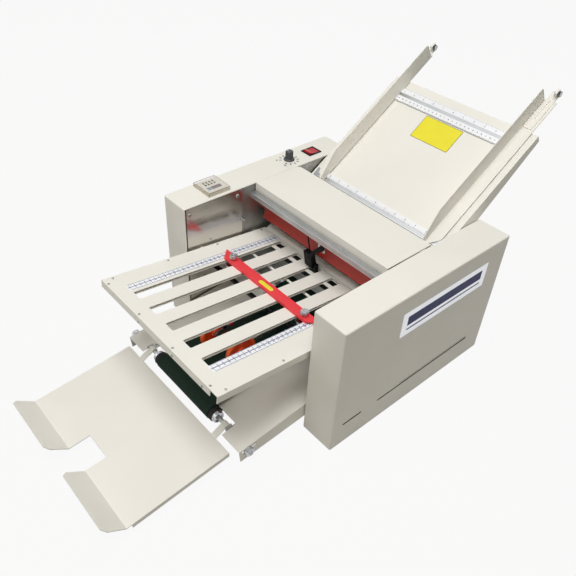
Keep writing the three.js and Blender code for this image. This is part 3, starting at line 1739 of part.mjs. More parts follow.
function knobSolid() {
  const k = knob;
  const base = coverTop + seatGap;
  const top = base + k.height;
  const skirt = turnedZ([
    [0, base],
    [k.skirtRadius, base],
    [k.skirtRadius, base + k.skirtHeight / 2],
    [k.bodyRadius, base + k.skirtHeight],
    [0, base + k.skirtHeight],
  ], knobX, knobY, motorFacets);
  const body = prismZ(knurl(knobX, knobY, k.bodyRadius, k.ridges, k.ridgeShare), base, top);
  const shaftOutline = circle(knobX, knobY, k.shaftRadius, facets);
  const shaft = prismZ(shaftOutline, base - k.shaftDepth, base + k.skirtHeight);
  const half = k.pointerWidth / 2;
  const pointerY = knobY - k.bodyRadius - overrun;
  const pointer = block(knobX - half, knobX + half, pointerY, knobY, top - k.pointerDepth, top + overrun);
  return joined([skirt, body, shaft]).subtract(pointer);
}

addPart('speed_knob', knobSolid(), blackPlastic);

// Power rocker: two faces that meet in a shallow dip

function rockerSolid() {
  const r = rocker;
  const outline = [
    [rockerY - r.halfY, coverTop - r.depth / 2],
    [rockerY, coverTop - r.depth],
    [rockerY + r.halfY, coverTop - r.depth / 2],
    [rockerY + r.halfY, coverTop + r.dip],
    [rockerY, coverTop + r.dip],
    [rockerY - r.halfY + sheet, coverTop + r.crown],
    [rockerY - r.halfY, coverTop + r.crown - sheet],
  ];
  return prismX(outline, rockerX - r.halfX, rockerX + r.halfX);
}

addPart('power_rocker', rockerSolid(), redPlastic);

// Counter: a case let into the housing top, with a clear hinged cover

function counterCaseSolid() {
  const c = counter;
  const base = coverTop + seatGap;
  const { y } = c;
  const x = counterX;
  const flange = block(x - c.halfX, x + c.halfX, y - c.halfY, y + c.halfY, base, base + c.baseHeight);
  const blockX = c.halfX - c.blockInset;
  const blockY = c.halfY - c.blockInset;
  const face = block(x - blockX, x + blockX, y - blockY, y + blockY, base, base + c.blockHeight);
  const bodyX = c.halfX - c.bodyInset;
  const bodyY = c.halfY - c.bodyInset;
  const body = block(x - bodyX, x + bodyX, y - bodyY, y + bodyY, base - c.bodyDepth, base + sheet);
  return joined([flange, face, body]);
}

function counterCoverSolid() {
  const c = counter;
  const z0 = coverTop + 2 * seatGap + c.baseHeight;
  const z1 = coverTop + c.coverHeight;
  const { y } = c;
  const x = counterX;
  const outer = block(x - c.halfX, x + c.halfX, y - c.halfY, y + c.halfY, z0, z1);
  const innerX = c.halfX - c.coverWall;
  const innerY = c.halfY - c.coverWall;
  const inner = block(x - innerX, x + innerX, y - innerY, y + innerY, z0 - overrun, z1 - c.coverWall);
  return outer.subtract(inner);
}

addPart('counter_case', counterCaseSolid(), creamPlastic);
addPart('counter_cover', counterCoverSolid(), clearPlastic);

// Power inlet in the rear wall of the left housing

function inletSolid() {
  const i = inlet;
  const face = housing.length + seatGap;
  const outer = face + i.flangeThickness;
  const floorY = outer - i.socketDepth;
  const slab = (halfX, halfZ, y0, y1) => (
    block(inletX - halfX, inletX + halfX, y0, y1, i.z - halfZ, i.z + halfZ)
  );
  const flange = slab(i.flangeHalfX, i.flangeHalfZ, face, outer);
  const body = slab(i.bodyHalfX, i.bodyHalfZ, face - i.bodyDepth, outer);
  const socket = slab(i.socketHalfX, i.socketHalfZ, floorY, outer + overrun);
  const pins = [[-i.pinPitch, -i.pinOffset], [0, i.pinOffset], [i.pinPitch, -i.pinOffset]].map(([dx, dz]) => {
    const x0 = inletX + dx - i.pinHalfThickness;
    const x1 = inletX + dx + i.pinHalfThickness;
    const z = i.z + dz;
    return block(x0, x1, floorY - sheet, floorY + i.pinLength, z - i.pinHalfWidth, z + i.pinHalfWidth);
  });
  return joined([joined([flange, body]).subtract(socket), ...pins]);
}

addPart('power_inlet', inletSolid(), blackPlastic);

// The origin goes under the middle of the whole machine

const bounds = new THREE.Box3().setFromObject(machine);
machine.position.set(-(bounds.min.x + bounds.max.x) / 2, -(bounds.min.y + bounds.max.y) / 2, 0);

export default machine;
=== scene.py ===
import json
import math

import bmesh
import bpy
from mathutils import Matrix, Vector


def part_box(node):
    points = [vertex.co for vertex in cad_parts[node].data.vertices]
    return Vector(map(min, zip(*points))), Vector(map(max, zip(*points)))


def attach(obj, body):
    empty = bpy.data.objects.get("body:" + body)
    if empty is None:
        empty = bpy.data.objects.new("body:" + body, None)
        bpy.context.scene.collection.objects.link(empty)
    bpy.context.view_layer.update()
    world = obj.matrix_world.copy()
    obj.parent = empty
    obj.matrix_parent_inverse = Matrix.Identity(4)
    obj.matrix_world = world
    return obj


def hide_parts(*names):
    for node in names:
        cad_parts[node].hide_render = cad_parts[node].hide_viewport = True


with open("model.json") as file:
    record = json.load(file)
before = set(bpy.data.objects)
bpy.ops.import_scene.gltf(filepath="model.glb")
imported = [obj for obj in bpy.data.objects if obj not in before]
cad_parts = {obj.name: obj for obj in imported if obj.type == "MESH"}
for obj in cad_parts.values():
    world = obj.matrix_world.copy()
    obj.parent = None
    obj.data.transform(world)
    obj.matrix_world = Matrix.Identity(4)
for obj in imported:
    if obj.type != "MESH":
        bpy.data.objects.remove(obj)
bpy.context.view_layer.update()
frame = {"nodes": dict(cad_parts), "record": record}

# The looks of a table-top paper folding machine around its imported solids.
# Sizes are millimetres until the last step of each piece, which turns them into metres.
# Y is counted from the front faces of the housings, as the solids' own drawing does.
# The floor and the lamps are placed in metres.

MM = 0.001


def box_mm(node):
    """A node's lowest and highest corners at rest, in millimetres."""
    lo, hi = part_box(node)
    return lo / MM, hi / MM


HOUSING_LO, HOUSING_HI = box_mm("right_cover")
FRONT_Y = HOUSING_LO.y
TOP_Z = HOUSING_HI.z
OUTER_X = HOUSING_HI.x


class Slope:
    """A sloping plane: along runs up its length, lift is square to it, x is the machine's."""

    def __init__(self, y, z, degrees):
        self.y = y
        self.z = z
        self.turn = math.radians(degrees)

    def at(self, x, along, lift):
        """A place on the slope, in metres of the scene."""
        c, s = math.cos(self.turn), math.sin(self.turn)
        y = self.y + along * c - lift * s
        z = self.z + along * s + lift * c
        return Vector((x, y, z)) * MM


# The planes that the pieces lie on, found from the solids' own boxes

FOLD_TILT = -6.17
FOLD_FLANGE = 13.5
TRAY_TILT = 33.74
TRAY_UPPER_END = 268
TRAY_END_FLANGE = 15
BELT_TILT = 6.2


def fold_slope():
    lo, hi = box_mm("fold_plate_top")
    return Slope(lo.y - FOLD_FLANGE * math.sin(math.radians(FOLD_TILT)), hi.z, FOLD_TILT)


def tray_slope():
    hi = box_mm("feed_tray")[1]
    c = math.cos(math.radians(TRAY_TILT))
    s = math.sin(math.radians(TRAY_TILT))
    return Slope(hi.y - TRAY_UPPER_END * c - TRAY_END_FLANGE * s, hi.z - TRAY_UPPER_END * s, TRAY_TILT)


def belt_slope():
    lo, hi = box_mm("conveyor_front_roller")
    return Slope((lo.y + hi.y) / 2, (lo.z + hi.z) / 2, BELT_TILT)


LEVEL = Slope(FRONT_Y, 0, 0)
FOLD = fold_slope()
TRAY = tray_slope()
BELT = belt_slope()


# Camera, lights, floor

CAMERA_PLACE = (674.3, -530.0, 917.3)
CAMERA_TURN = (50.470, -2.756, 48.921)
CAMERA_LENS = 39.965
SENSOR_WIDTH = 36.0


def add_camera():
    data = bpy.data.cameras.new("view")
    data.lens = CAMERA_LENS
    data.sensor_width = SENSOR_WIDTH
    camera = bpy.data.objects.new("view", data)
    camera.location = LEVEL.at(*CAMERA_PLACE)
    camera.rotation_euler = [math.radians(a) for a in CAMERA_TURN]
    bpy.context.scene.collection.objects.link(camera)
    bpy.context.scene.camera = camera


def add_area_light(name, place, aim, size, power):
    data = bpy.data.lights.new(name, "AREA")
    data.shape = "DISK"
    data.size = size
    data.energy = power
    lamp = bpy.data.objects.new(name, data)
    lamp.location = place
    lamp.rotation_euler = (Vector(aim) - Vector(place)).to_track_quat("-Z", "Y").to_euler()
    bpy.context.scene.collection.objects.link(lamp)


def white_to_the_eye(nodes, links, shader, colour, share):
    """Mixes in a plain glow that only camera, mirror and glass rays see."""
    path = nodes.new("ShaderNodeLightPath")
    seen = nodes.new("ShaderNodeMath")
    seen.operation = "MAXIMUM"
    links.new(path.outputs["Is Camera Ray"], seen.inputs[0])
    links.new(path.outputs["Is Glossy Ray"], seen.inputs[1])
    both = nodes.new("ShaderNodeMath")
    both.operation = "MAXIMUM"
    links.new(seen.outputs[0], both.inputs[0])
    links.new(path.outputs["Is Transmission Ray"], both.inputs[1])
    amount = nodes.new("ShaderNodeMath")
    amount.operation = "MULTIPLY"
    amount.inputs[1].default_value = share
    links.new(both.outputs[0], amount.inputs[0])
    glow = nodes.new("ShaderNodeEmission")
    glow.inputs["Color"].default_value = colour
    mix = nodes.new("ShaderNodeMixShader")
    links.new(amount.outputs[0], mix.inputs["Fac"])
    links.new(shader.outputs[0], mix.inputs[1])
    links.new(glow.outputs[0], mix.inputs[2])
    return mix


FLOOR_HALF = 6.0
FLOOR_DROP = 0.0005
FLOOR_COLOUR = (0.38, 0.36, 0.31, 1.0)
FLOOR_GLOW_SHARE = 0.93
WORLD_STRENGTH = 0.25
WORLD_COLOUR = (1.0, 0.975, 0.9, 1.0)
WHITE = (1.0, 1.0, 1.0, 1.0)


def add_floor():
    mesh = bpy.data.meshes.new("floor")
    h = FLOOR_HALF
    mesh.from_pydata([(-h, -h, 0), (h, -h, 0), (h, h, 0), (-h, h, 0)], [], [(0, 1, 2, 3)])
    floor = bpy.data.objects.new("floor", mesh)
    floor.location.z = -FLOOR_DROP
    bpy.context.scene.collection.objects.link(floor)
    mat = bpy.data.materials.new("floor_paper")
    mat.use_nodes = True
    nodes, links = mat.node_tree.nodes, mat.node_tree.links
    nodes.clear()
    matt = nodes.new("ShaderNodeBsdfDiffuse")
    matt.inputs["Color"].default_value = FLOOR_COLOUR
    mix = white_to_the_eye(nodes, links, matt, WHITE, FLOOR_GLOW_SHARE)
    out = nodes.new("ShaderNodeOutputMaterial")
    links.new(mix.outputs[0], out.inputs["Surface"])
    mesh.materials.append(mat)


def add_world():
    world = bpy.data.worlds.new("studio")
    world.use_nodes = True
    nodes, links = world.node_tree.nodes, world.node_tree.links
    nodes.clear()
    dim = nodes.new("ShaderNodeBackground")
    dim.inputs["Color"].default_value = WORLD_COLOUR
    dim.inputs["Strength"].default_value = WORLD_STRENGTH
    mix = white_to_the_eye(nodes, links, dim, WHITE, 1.0)
    out = nodes.new("ShaderNodeOutputWorld")
    links.new(mix.outputs[0], out.inputs["Surface"])
    bpy.context.scene.world = world


add_camera()
add_floor()
add_world()
add_area_light("overhead", place=(0.3, -0.65, 2.5), aim=(0, 0, 0.2), size=1.7, power=43)
add_area_light("front_left", place=(-1.8, -1.9, 1.5), aim=(0, -0.1, 0.2), size=1.4, power=4)
bpy.context.scene.view_settings.view_transform = "Standard"


# Materials

def linear(hex_colour):
    """A colour written as 0xRRGGBB, as the linear values that a shader takes."""
    values = []
    for shift in (16, 8, 0):
        v = ((hex_colour >> shift) & 255) / 255
        values.append(v / 12.92 if v <= 0.04045 else ((v + 0.055) / 1.055) ** 2.4)
    return (*values, 1.0)


NOISE_RANGE = (0.3, 0.7)


class Surface:
    """A material with broad colour and gloss variation and a fine grain in the surface."""

    def __init__(self, name, colour, roughness, metallic=0.0):
        self.mat = bpy.data.materials.new(name)
        self.mat.use_nodes = True
        self.nodes = self.mat.node_tree.nodes
        self.links = self.mat.node_tree.links
        self.shader = self.nodes["Principled BSDF"]
        self.colour = linear(colour)
        self.roughness = roughness
        self.shader.inputs["Metallic"].default_value = metallic
        self.place = self.nodes.new("ShaderNodeTexCoord").outputs["Object"]

    def noise(self, scale, detail=2.0, stretch=(1, 1, 1)):
        """Noise with features of 1 / scale metres, drawn out where stretch is small."""
        mapping = self.nodes.new("ShaderNodeMapping")
        mapping.inputs["Scale"].default_value = stretch
        self.links.new(self.place, mapping.inputs["Vector"])
        noise = self.nodes.new("ShaderNodeTexNoise")
        noise.inputs["Scale"].default_value = scale
        noise.inputs["Detail"].default_value = detail
        self.links.new(mapping.outputs[0], noise.inputs["Vector"])
        return noise.outputs["Fac"]

    def vary(self, source, low, high):
        """The range that noise mostly keeps to, stretched from low to high."""
        span = self.nodes.new("ShaderNodeMapRange")
        span.inputs["From Min"].default_value = NOISE_RANGE[0]
        span.inputs["From Max"].default_value = NOISE_RANGE[1]
        span.inputs["To Min"].default_value = low
        span.inputs["To Max"].default_value = high
        self.links.new(source, span.inputs["Value"])
        return span.outputs["Result"]

    def tint(self, source, spread):
        """The colour, from a shade below to a shade above by the spread."""
        mix = self.nodes.new("ShaderNodeMix")
        mix.data_type = "RGBA"
        mix.inputs["A"].default_value = (*[c * (1 - spread) for c in self.colour[:3]], 1)
        mix.inputs["B"].default_value = (*[min(1, c * (1 + spread)) for c in self.colour[:3]], 1)
        self.links.new(self.vary(source, 0, 1), mix.inputs["Factor"])
        self.links.new(mix.outputs["Result"], self.shader.inputs["Base Color"])
        return self

    def gloss(self, source, spread):
        low, high = self.roughness - spread, self.roughness + spread
        self.links.new(self.vary(source, low, high), self.shader.inputs["Roughness"])
        return self

    def grain(self, source, strength, depth):
        """Bumps of that depth in millimetres."""
        bump = self.nodes.new("ShaderNodeBump")
        bump.inputs["Strength"].default_value = strength
        bump.inputs["Distance"].default_value = depth * MM
        self.links.new(source, bump.inputs["Height"])
        self.links.new(bump.outputs[0], self.shader.inputs["Normal"])
        return self

    def set(self, **values):
        for key, value in values.items():
            self.shader.inputs[key.replace("_", " ")].default_value = value
        return self


def powder_coat(name, colour, roughness=0.42):
    s = Surface(name, colour, roughness)
    s.tint(s.noise(9), 0.015).gloss(s.noise(60), 0.05).grain(s.noise(260), 0.2, 0.03)
    return s.mat


def rolled_metal(name, colour, roughness, stretch):
    s = Surface(name, colour, roughness, 1.0)
    brushed = s.noise(420, 2, stretch)
    s.tint(s.noise(24), 0.03).gloss(brushed, 0.05).grain(brushed, 0.2, 0.006)
    return s.mat


def plated_metal(name, colour, roughness):
    s = Surface(name, colour, roughness, 1.0)
    s.tint(s.noise(70), 0.07).gloss(s.noise(260), 0.06).grain(s.noise(500), 0.12, 0.006)
    return s.mat


def moulded_plastic(name, colour, roughness, specular=0.35):
    s = Surface(name, colour, roughness)
    s.tint(s.noise(40), 0.05).gloss(s.noise(300), 0.05).grain(s.noise(500), 0.15, 0.015)
    s.set(Specular_IOR_Level=specular)
    return s.mat


def roller_rubber(name, colour, roughness):
    s = Surface(name, colour, roughness)
    s.tint(s.noise(120, 3), 0.12).gloss(s.noise(300), 0.06).grain(s.noise(500, 3), 0.3, 0.03)
    s.set(Specular_IOR_Level=0.25)
    return s.mat


def belt_cloth(name, colour):
    """A coated belt with its weave just showing through."""
    s = Surface(name, colour, 0.72)
    along = s.noise(450, 1, (0.15, 1, 1))
    across = s.noise(450, 1, (1, 0.15, 0.15))
    weave = s.nodes.new("ShaderNodeMath")
    weave.operation = "MAXIMUM"
    s.links.new(along, weave.inputs[0])
    s.links.new(across, weave.inputs[1])
    s.tint(s.noise(30), 0.18).gloss(weave.outputs[0], 0.08).grain(weave.outputs[0], 0.4, 0.05)
    s.set(Specular_IOR_Level=0.2)
    return s.mat


def clear_acrylic(name, colour, alpha):
    """Clear sheet, seen more where it is looked along than where it is looked through."""
    blend, edge_gain = 0.3, 0.3
    s = Surface(name, colour, 0.1)
    s.tint(s.noise(20), 0.02).gloss(s.noise(90), 0.03)
    facing = s.nodes.new("ShaderNodeLayerWeight")
    facing.inputs["Blend"].default_value = blend
    span = s.nodes.new("ShaderNodeMapRange")
    span.inputs["To Min"].default_value = alpha
    span.inputs["To Max"].default_value = min(1, alpha + edge_gain)
    s.links.new(facing.outputs["Facing"], span.inputs["Value"])
    s.links.new(span.outputs["Result"], s.shader.inputs["Alpha"])
    return s.mat


def lit_rocker_plastic(name, colour):
    s = Surface(name, colour, 0.3)
    s.tint(s.noise(150), 0.12).gloss(s.noise(200), 0.04)
    s.set(Specular_IOR_Level=0.3)
    return s.mat


def printed_foil(name, colour, roughness, metallic=0.0):
    s = Surface(name, colour, roughness, metallic)
    s.tint(s.noise(30), 0.03).gloss(s.noise(120), 0.04).grain(s.noise(300), 0.08, 0.01)
    s.set(Specular_IOR_Level=0.25)
    return s.mat


FINISHES = {
    "ivory_paint": powder_coat("ivory_paint", 0xF1EEE5),
    "polished_steel": rolled_metal("polished_steel", 0xC9C6C0, 0.2, (1, 0.04, 1)),
    "zinc_steel": plated_metal("zinc_steel", 0xA6A6A2, 0.42),
    "aluminium": rolled_metal("aluminium", 0xC6C8C9, 0.36, (0.02, 1, 1)),
    "bright_steel": plated_metal("bright_steel", 0xB9BBBE, 0.24),
    "red_paint": powder_coat("red_paint", 0xF03A42, 0.38),
    "dark_red_paint": powder_coat("dark_red_paint", 0xBE3A2E, 0.4),
    "orange_plastic": moulded_plastic("orange_plastic", 0xFF6428, 0.36),
    "green_belt": belt_cloth("green_belt", 0x10261B),
    "black_plastic": moulded_plastic("black_plastic", 0x0E0E10, 0.55, 0.15),
    "black_rubber": roller_rubber("black_rubber", 0x1C1C1C, 0.7),
    "gray_rubber": roller_rubber("gray_rubber", 0x2A2B2C, 0.6),
    "red_plastic": lit_rocker_plastic("red_plastic", 0xB8121A),
    "cream_plastic": moulded_plastic("cream_plastic", 0xD8D2C2, 0.35),
    "white_plastic": moulded_plastic("white_plastic", 0xE8E8E2, 0.45),
    "clear_plastic": clear_acrylic("clear_plastic", 0xF0F0EC, 0.04),
}

SCALE_WHITE = printed_foil("scale_white", 0xF6F7FA, 0.35)
SCALE_BLUE = printed_foil("scale_blue", 0x22356F, 0.5)
INK_BLACK = printed_foil("ink_black", 0x262629, 0.45)
LABEL_YELLOW = printed_foil("label_yellow", 0xF2E63C, 0.4)
LABEL_EDGE = printed_foil("label_edge", 0x6B6420, 0.45)
LABEL_SILVER = printed_foil("label_silver", 0xE2E4E8, 0.36, 1.0)
LABEL_BLUE = printed_foil("label_blue", 0x1A2058, 0.5)
DISPLAY_RED = printed_foil("display_red", 0x4C1014, 0.3)
COUNTER_RIM = printed_foil("counter_rim", 0xD8D9DA, 0.4)
DISPLAY_BLUE = printed_foil("display_blue", 0x5C708E, 0.3)
ACRYLIC_EDGE = clear_acrylic("acrylic_edge", 0xB4A894, 0.5)
KNOB_GREY = moulded_plastic("knob_grey", 0x47484A, 0.34)
# A darker copy of the plated steel: painted reflection of dark surroundings on chrome.
CHROME_PAINTED_REFLECTION = plated_metal("chrome_painted_reflection", 0x5C6066, 0.28)
# Dark steel: the press arms' clamps, and painted shade on the press wheels' shaft, which sits in shadow.
BLACK_OXIDE_AND_SHADE = plated_metal("black_oxide_and_shade", 0x2A2A2C, 0.4)


def finish_solids():
    """Each solid gets the finish of its slot, and the press wheels' shaft a dark one: painted shade that
    keeps the shaft as dark as the shadow round it.
    """
    for part in frame["record"]["subparts"]:
        mesh = frame["nodes"][part["node"]].data
        finish = FINISHES[part["material_slot"]]
        mesh.materials.clear()
        # The shaft's dark finish is painted shade for the shadow it sits in.
        mesh.materials.append(BLACK_OXIDE_AND_SHADE if part["node"] == "press_wheel_shaft" else finish)


finish_solids()


# Mesh building, on a slope's own axes: x, along, lift

AXES = {
    "x": lambda u, v, w: (w, u, v),
    "y": lambda u, v, w: (u, w, v),
    "z": lambda u, v, w: (u, v, w),
}


def prism(bm, axis, outline, lo, hi):
    """An outline of two coordinates, run from lo to hi along the axis."""
    place = AXES[axis]
    rings = [[bm.verts.new(place(u, v, w)) for u, v in outline] for w in (lo, hi)]
    for ring in rings:
        bm.faces.new(ring)
    count = len(outline)
    for i in range(count):
        j = (i + 1) % count
        bm.faces.new((rings[0][i], rings[0][j], rings[1][j], rings[1][i]))


def turned(bm, axis, centre, profile, steps=48):
    """A profile of (radius, way) points, turned about the axis through the centre."""
    place = AXES[axis]
    rings = []
    for radius, way in profile:
        count = steps if radius > 0 else 1
        ring = []
        for i in range(count):
            turn = 2 * math.pi * i / count
            u = centre[0] + radius * math.cos(turn)
            v = centre[1] + radius * math.sin(turn)
            ring.append(bm.verts.new(place(u, v, way)))
        rings.append(ring)
    if profile[0][0] > 0:
        rings.append(rings[0])
    for a, b in zip(rings, rings[1:]):
        for i in range(steps):
            corners = [a[i % len(a)], a[(i + 1) % len(a)], b[(i + 1) % len(b)], b[i % len(b)]]
            bm.faces.new(list(dict.fromkeys(corners)))


def rounded(u0, u1, v0, v1, radius, steps=6):
    """A rectangle's outline with round corners."""
    points = []
    for cu, cv, start in (
        (u1 - radius, v0 + radius, -90),
        (u1 - radius, v1 - radius, 0),
        (u0 + radius, v1 - radius, 90),
        (u0 + radius, v0 + radius, 180),
    ):
        for i in range(steps + 1):
            turn = math.radians(start + 90 * i / steps)
            points.append((cu + radius * math.cos(turn), cv + radius * math.sin(turn)))
    return points


def oblong(u0, u1, v0, v1):
    return [(u0, v0), (u1, v0), (u1, v1), (u0, v1)]


def ridged(centre, radius, ridges, depth):
    """A knurled outline with rounded ridges."""
    points = []
    per_ridge = 4
    for i in range(ridges * per_ridge):
        turn = 2 * math.pi * i / (ridges * per_ridge)
        reach = radius - depth * (0.5 - 0.5 * math.cos(ridges * turn))
        points.append((centre[0] + reach * math.cos(turn), centre[1] + reach * math.sin(turn)))
    return points


BEVEL_ANGLE = math.radians(30)
BEVEL_SEGMENTS = 2
SMOOTH_ANGLE = math.radians(40)


def bevelled(bm, width):
    """Bevels the sharp edges of a closed mesh."""
    bm.normal_update()
    edges = [e for e in bm.edges if len(e.link_faces) == 2 and e.calc_face_angle() > BEVEL_ANGLE]
    bmesh.ops.bevel(
        bm, geom=edges, offset=width, segments=BEVEL_SEGMENTS, affect="EDGES",
        profile=0.5, clamp_overlap=True,
    )


def link_mesh(name, mesh, body, replaces=()):
    piece = bpy.data.objects.new(name, mesh)
    bpy.context.scene.collection.objects.link(piece)
    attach(piece, body)
    if replaces:
        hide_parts(*replaces)
    return piece


def add_piece(name, bm, slope, material, body, bevel=0, replaces=()):
    """Closes the mesh, lays it on its slope in metres and lets it ride on its body."""
    bmesh.ops.recalc_face_normals(bm, faces=bm.faces)
    if bevel:
        bevelled(bm, bevel)
    for vert in bm.verts:
        vert.co = slope.at(*vert.co)
    mesh = bpy.data.meshes.new(name)
    bm.to_mesh(mesh)
    bm.free()
    mesh.materials.append(material)
    mesh.shade_smooth()
    mesh.set_sharp_from_angle(angle=SMOOTH_ANGLE)
    return link_mesh(name, mesh, body, replaces)


# Scales: a white strip with ticks along its edges and plain numbers

DIGIT_HEIGHT = 3.8
DIGIT_WEIGHT = 0.045
DIGIT_PITCH_SHARE = 0.62
DIGIT_MIDDLE_SHARE = 0.35
PRINT_THICKNESS = 0.06
glyphs = {}


def glyph(character):
    """The outline of a digit as vertices and faces, made once by the text tool."""
    if character not in glyphs:
        curve = bpy.data.curves.new("digit", "FONT")
        curve.body = character
        curve.align_x = "CENTER"
        curve.resolution_u = 2
        curve.offset = DIGIT_WEIGHT
        holder = bpy.data.objects.new("digit", curve)
        bpy.context.scene.collection.objects.link(holder)
        shape = holder.to_mesh()
        points = [v.co.to_2d() for v in shape.vertices]
        faces = [list(f.vertices) for f in shape.polygons]
        holder.to_mesh_clear()
        bpy.data.objects.remove(holder)
        bpy.data.curves.remove(curve)
        glyphs[character] = (points, faces)
    return glyphs[character]


def add_number(bm, number, u, v, lift, height, turn=0.0):
    """Digits as thin raised print, read along the direction that turn gives."""
    text = str(number)
    pitch = height * DIGIT_PITCH_SHARE
    c, s = math.cos(turn), math.sin(turn)
    for index, character in enumerate(text):
        points, faces = glyph(character)
        shift = (index - (len(text) - 1) / 2) * pitch
        made = []
        for point in points:
            x = shift + point.x * height
            y = (point.y - DIGIT_MIDDLE_SHARE) * height
            made.append(bm.verts.new((u + x * c - y * s, v + x * s + y * c, lift)))
        flat = [bm.faces.new([made[i] for i in face]) for face in faces]
        raised = bmesh.ops.extrude_face_region(bm, geom=flat)
        for item in raised["geom"]:
            if isinstance(item, bmesh.types.BMVert):
                item.co.z += PRINT_THICKNESS


def tick(bm, u0, u1, v0, v1, lift):
    prism(bm, "z", oblong(u0, u1, v0, v1), lift, lift + PRINT_THICKNESS)


STRIP_THICKNESS = 0.2
STRIP_BEVEL = 0.08
LONG_TICK = (2.6, 0.6)
MIDDLE_TICK = (2.1, 0.5)
SHORT_TICK = (1.5, 0.4)
CENTRE_LINE = 1.3
NUMBER_INSET = 5.6
NUMBER_SHIFT = 1.2
SCALE_MARGIN = 1
MARKS_PER_CM = 10


def tick_size(index, per_number):
    """Length and half the width of a tick's line."""
    if index % per_number == 0:
        length, width = LONG_TICK
    elif index % (per_number // 2) == 0:
        length, width = MIDDLE_TICK
    else:
        length, width = SHORT_TICK
    return length, width / 2


def fold_scale(name, x0, x1, along0, along1, first):
    """A centimetre scale along the fold plate, with a row on each side of a centre line."""
    base = bmesh.new()
    prism(base, "z", oblong(x0, x1, along0, along1), 0, STRIP_THICKNESS)
    add_piece(name, base, FOLD, SCALE_WHITE, "machine", bevel=STRIP_BEVEL)
    ink = bmesh.new()
    lift = STRIP_THICKNESS
    middle = (x0 + x1) / 2
    line = CENTRE_LINE
    tick(ink, middle - line / 2, middle + line / 2, along0 + line, along1 - line, lift)
    count = int(along1 - first)
    for i in range(count):
        at = first + i
        reach, half = tick_size(i, MARKS_PER_CM)
        tick(ink, x0, x0 + reach, at - half, at + half, lift)
        tick(ink, x1 - reach, x1, at - half, at + half, lift)
        if i % MARKS_PER_CM == 0:
            number = i // MARKS_PER_CM + 1
            add_number(ink, number, x0 + NUMBER_INSET, at, lift, DIGIT_HEIGHT, math.pi / 2)
            add_number(ink, number, x1 - NUMBER_INSET, at, lift, DIGIT_HEIGHT, -math.pi / 2)
    add_piece(name + "_print", ink, FOLD, SCALE_BLUE, "machine")


def tray_scale(name, along0, along1, lift, first, pitch, parts, ticks_up):
    """A scale across the feed tray: pitch is one number's width, cut into that many parts."""
    half = box_mm("upper_rail")[1].x
    base = bmesh.new()
    prism(base, "z", oblong(-half, half, along0, along1), lift, lift + STRIP_THICKNESS)
    add_piece(name, base, TRAY, SCALE_WHITE, "machine", bevel=STRIP_BEVEL)
    ink = bmesh.new()
    top = lift + STRIP_THICKNESS
    step = pitch / parts
    index = math.ceil((-half + SCALE_MARGIN - first) / step)
    while first + index * step < half - SCALE_MARGIN:
        at = first + index * step
        reach, half_width = tick_size(index, parts)
        low, high = (along0, along0 + reach) if ticks_up else (along1 - reach, along1)
        tick(ink, at - half_width, at + half_width, low, high, top)
        if index % parts == 0:
            middle = (along0 + along1) / 2 + (NUMBER_SHIFT if ticks_up else -NUMBER_SHIFT)
            number = abs(index // parts - round((-first) / pitch))
            add_number(ink, number, at, middle, top, DIGIT_HEIGHT)
        index += 1
    add_piece(name + "_print", ink, TRAY, INK_BLACK, "machine")


RAIL_TOP = 2.3
LOWER_SCALE_ALONG = (-6.6, 4)
UPPER_CM_ALONG = (216, 229.5)
UPPER_INCH_ALONG = (237, 248.5)
FOLD_SCALES_X = {"left": (-134, -117.5), "right": (109, 125.5)}
FOLD_SCALE_ALONG = (25, 371)
FOLD_SCALE_FIRST = 30.4
INCH = 25.4
EIGHTHS = 8
CENTIMETRE = 10
FIRST_INCH_MARK = -128.6

for side_name, scale_x in FOLD_SCALES_X.items():
    fold_scale(f"fold_scale_{side_name}", *scale_x, *FOLD_SCALE_ALONG, FOLD_SCALE_FIRST)
tray_scale("tray_scale_lower", *LOWER_SCALE_ALONG, RAIL_TOP, FIRST_INCH_MARK, INCH, EIGHTHS, True)
tray_scale("tray_scale_upper_cm", *UPPER_CM_ALONG, RAIL_TOP, 0, CENTIMETRE, MARKS_PER_CM, True)
tray_scale("tray_scale_upper_inch", *UPPER_INCH_ALONG, RAIL_TOP, FIRST_INCH_MARK, INCH, EIGHTHS, False)


# Labels: bare, in the places of the machine's own

STICKER_THICKNESS = 0.15
STOP_BAR_TOP = 5.2
TRAY_LABEL = (-46, 44, 160, 213)
TRAY_LABEL_CORNER = 1.5
TRAY_LABEL_BORDER = 1
TRAY_BORDER_CORNER = 2
STOP_LABEL = (-20, 17, 229, 238)
STOP_LABEL_CORNER = 4.4
SIDE_LABEL = (138, 369, 187, 240)
SIDE_LABEL_CORNER = 2
SIDE_BAND_CORNER = 1.4
SIDE_BAND_Y = (152, 355)
SIDE_BANDS_Z = {"wide": (208, 228), "narrow": (198, 201)}


def add_label(name, slope, axis, outline, lo, hi, material):
    bm = bmesh.new()
    prism(bm, axis, outline, lo, hi)
    add_piece(name, bm, slope, material, "machine")


def tray_label():
    """A plain yellow sticker on a slightly larger dark one, which shows as its border."""
    t, (x0, x1, along0, along1), b = STICKER_THICKNESS, TRAY_LABEL, TRAY_LABEL_BORDER
    clear, sink, rise = 0.02, 0.05, 0.08
    border = rounded(x0 - b, x1 + b, along0 - b, along1 + b, TRAY_BORDER_CORNER)
    add_label("tray_label_edge", TRAY, "z", border, clear, t, LABEL_EDGE)
    sticker = rounded(*TRAY_LABEL, TRAY_LABEL_CORNER)
    add_label("tray_label", TRAY, "z", sticker, t - sink, t + rise, LABEL_YELLOW)


def stop_bar_label():
    """A bare sticker with round ends, which moves with the stop bar."""
    bm = bmesh.new()
    outline = rounded(*STOP_LABEL, STOP_LABEL_CORNER)
    prism(bm, "z", outline, STOP_BAR_TOP, STOP_BAR_TOP + STICKER_THICKNESS)
    add_piece("stop_bar_label", bm, FOLD, LABEL_YELLOW, "stop")


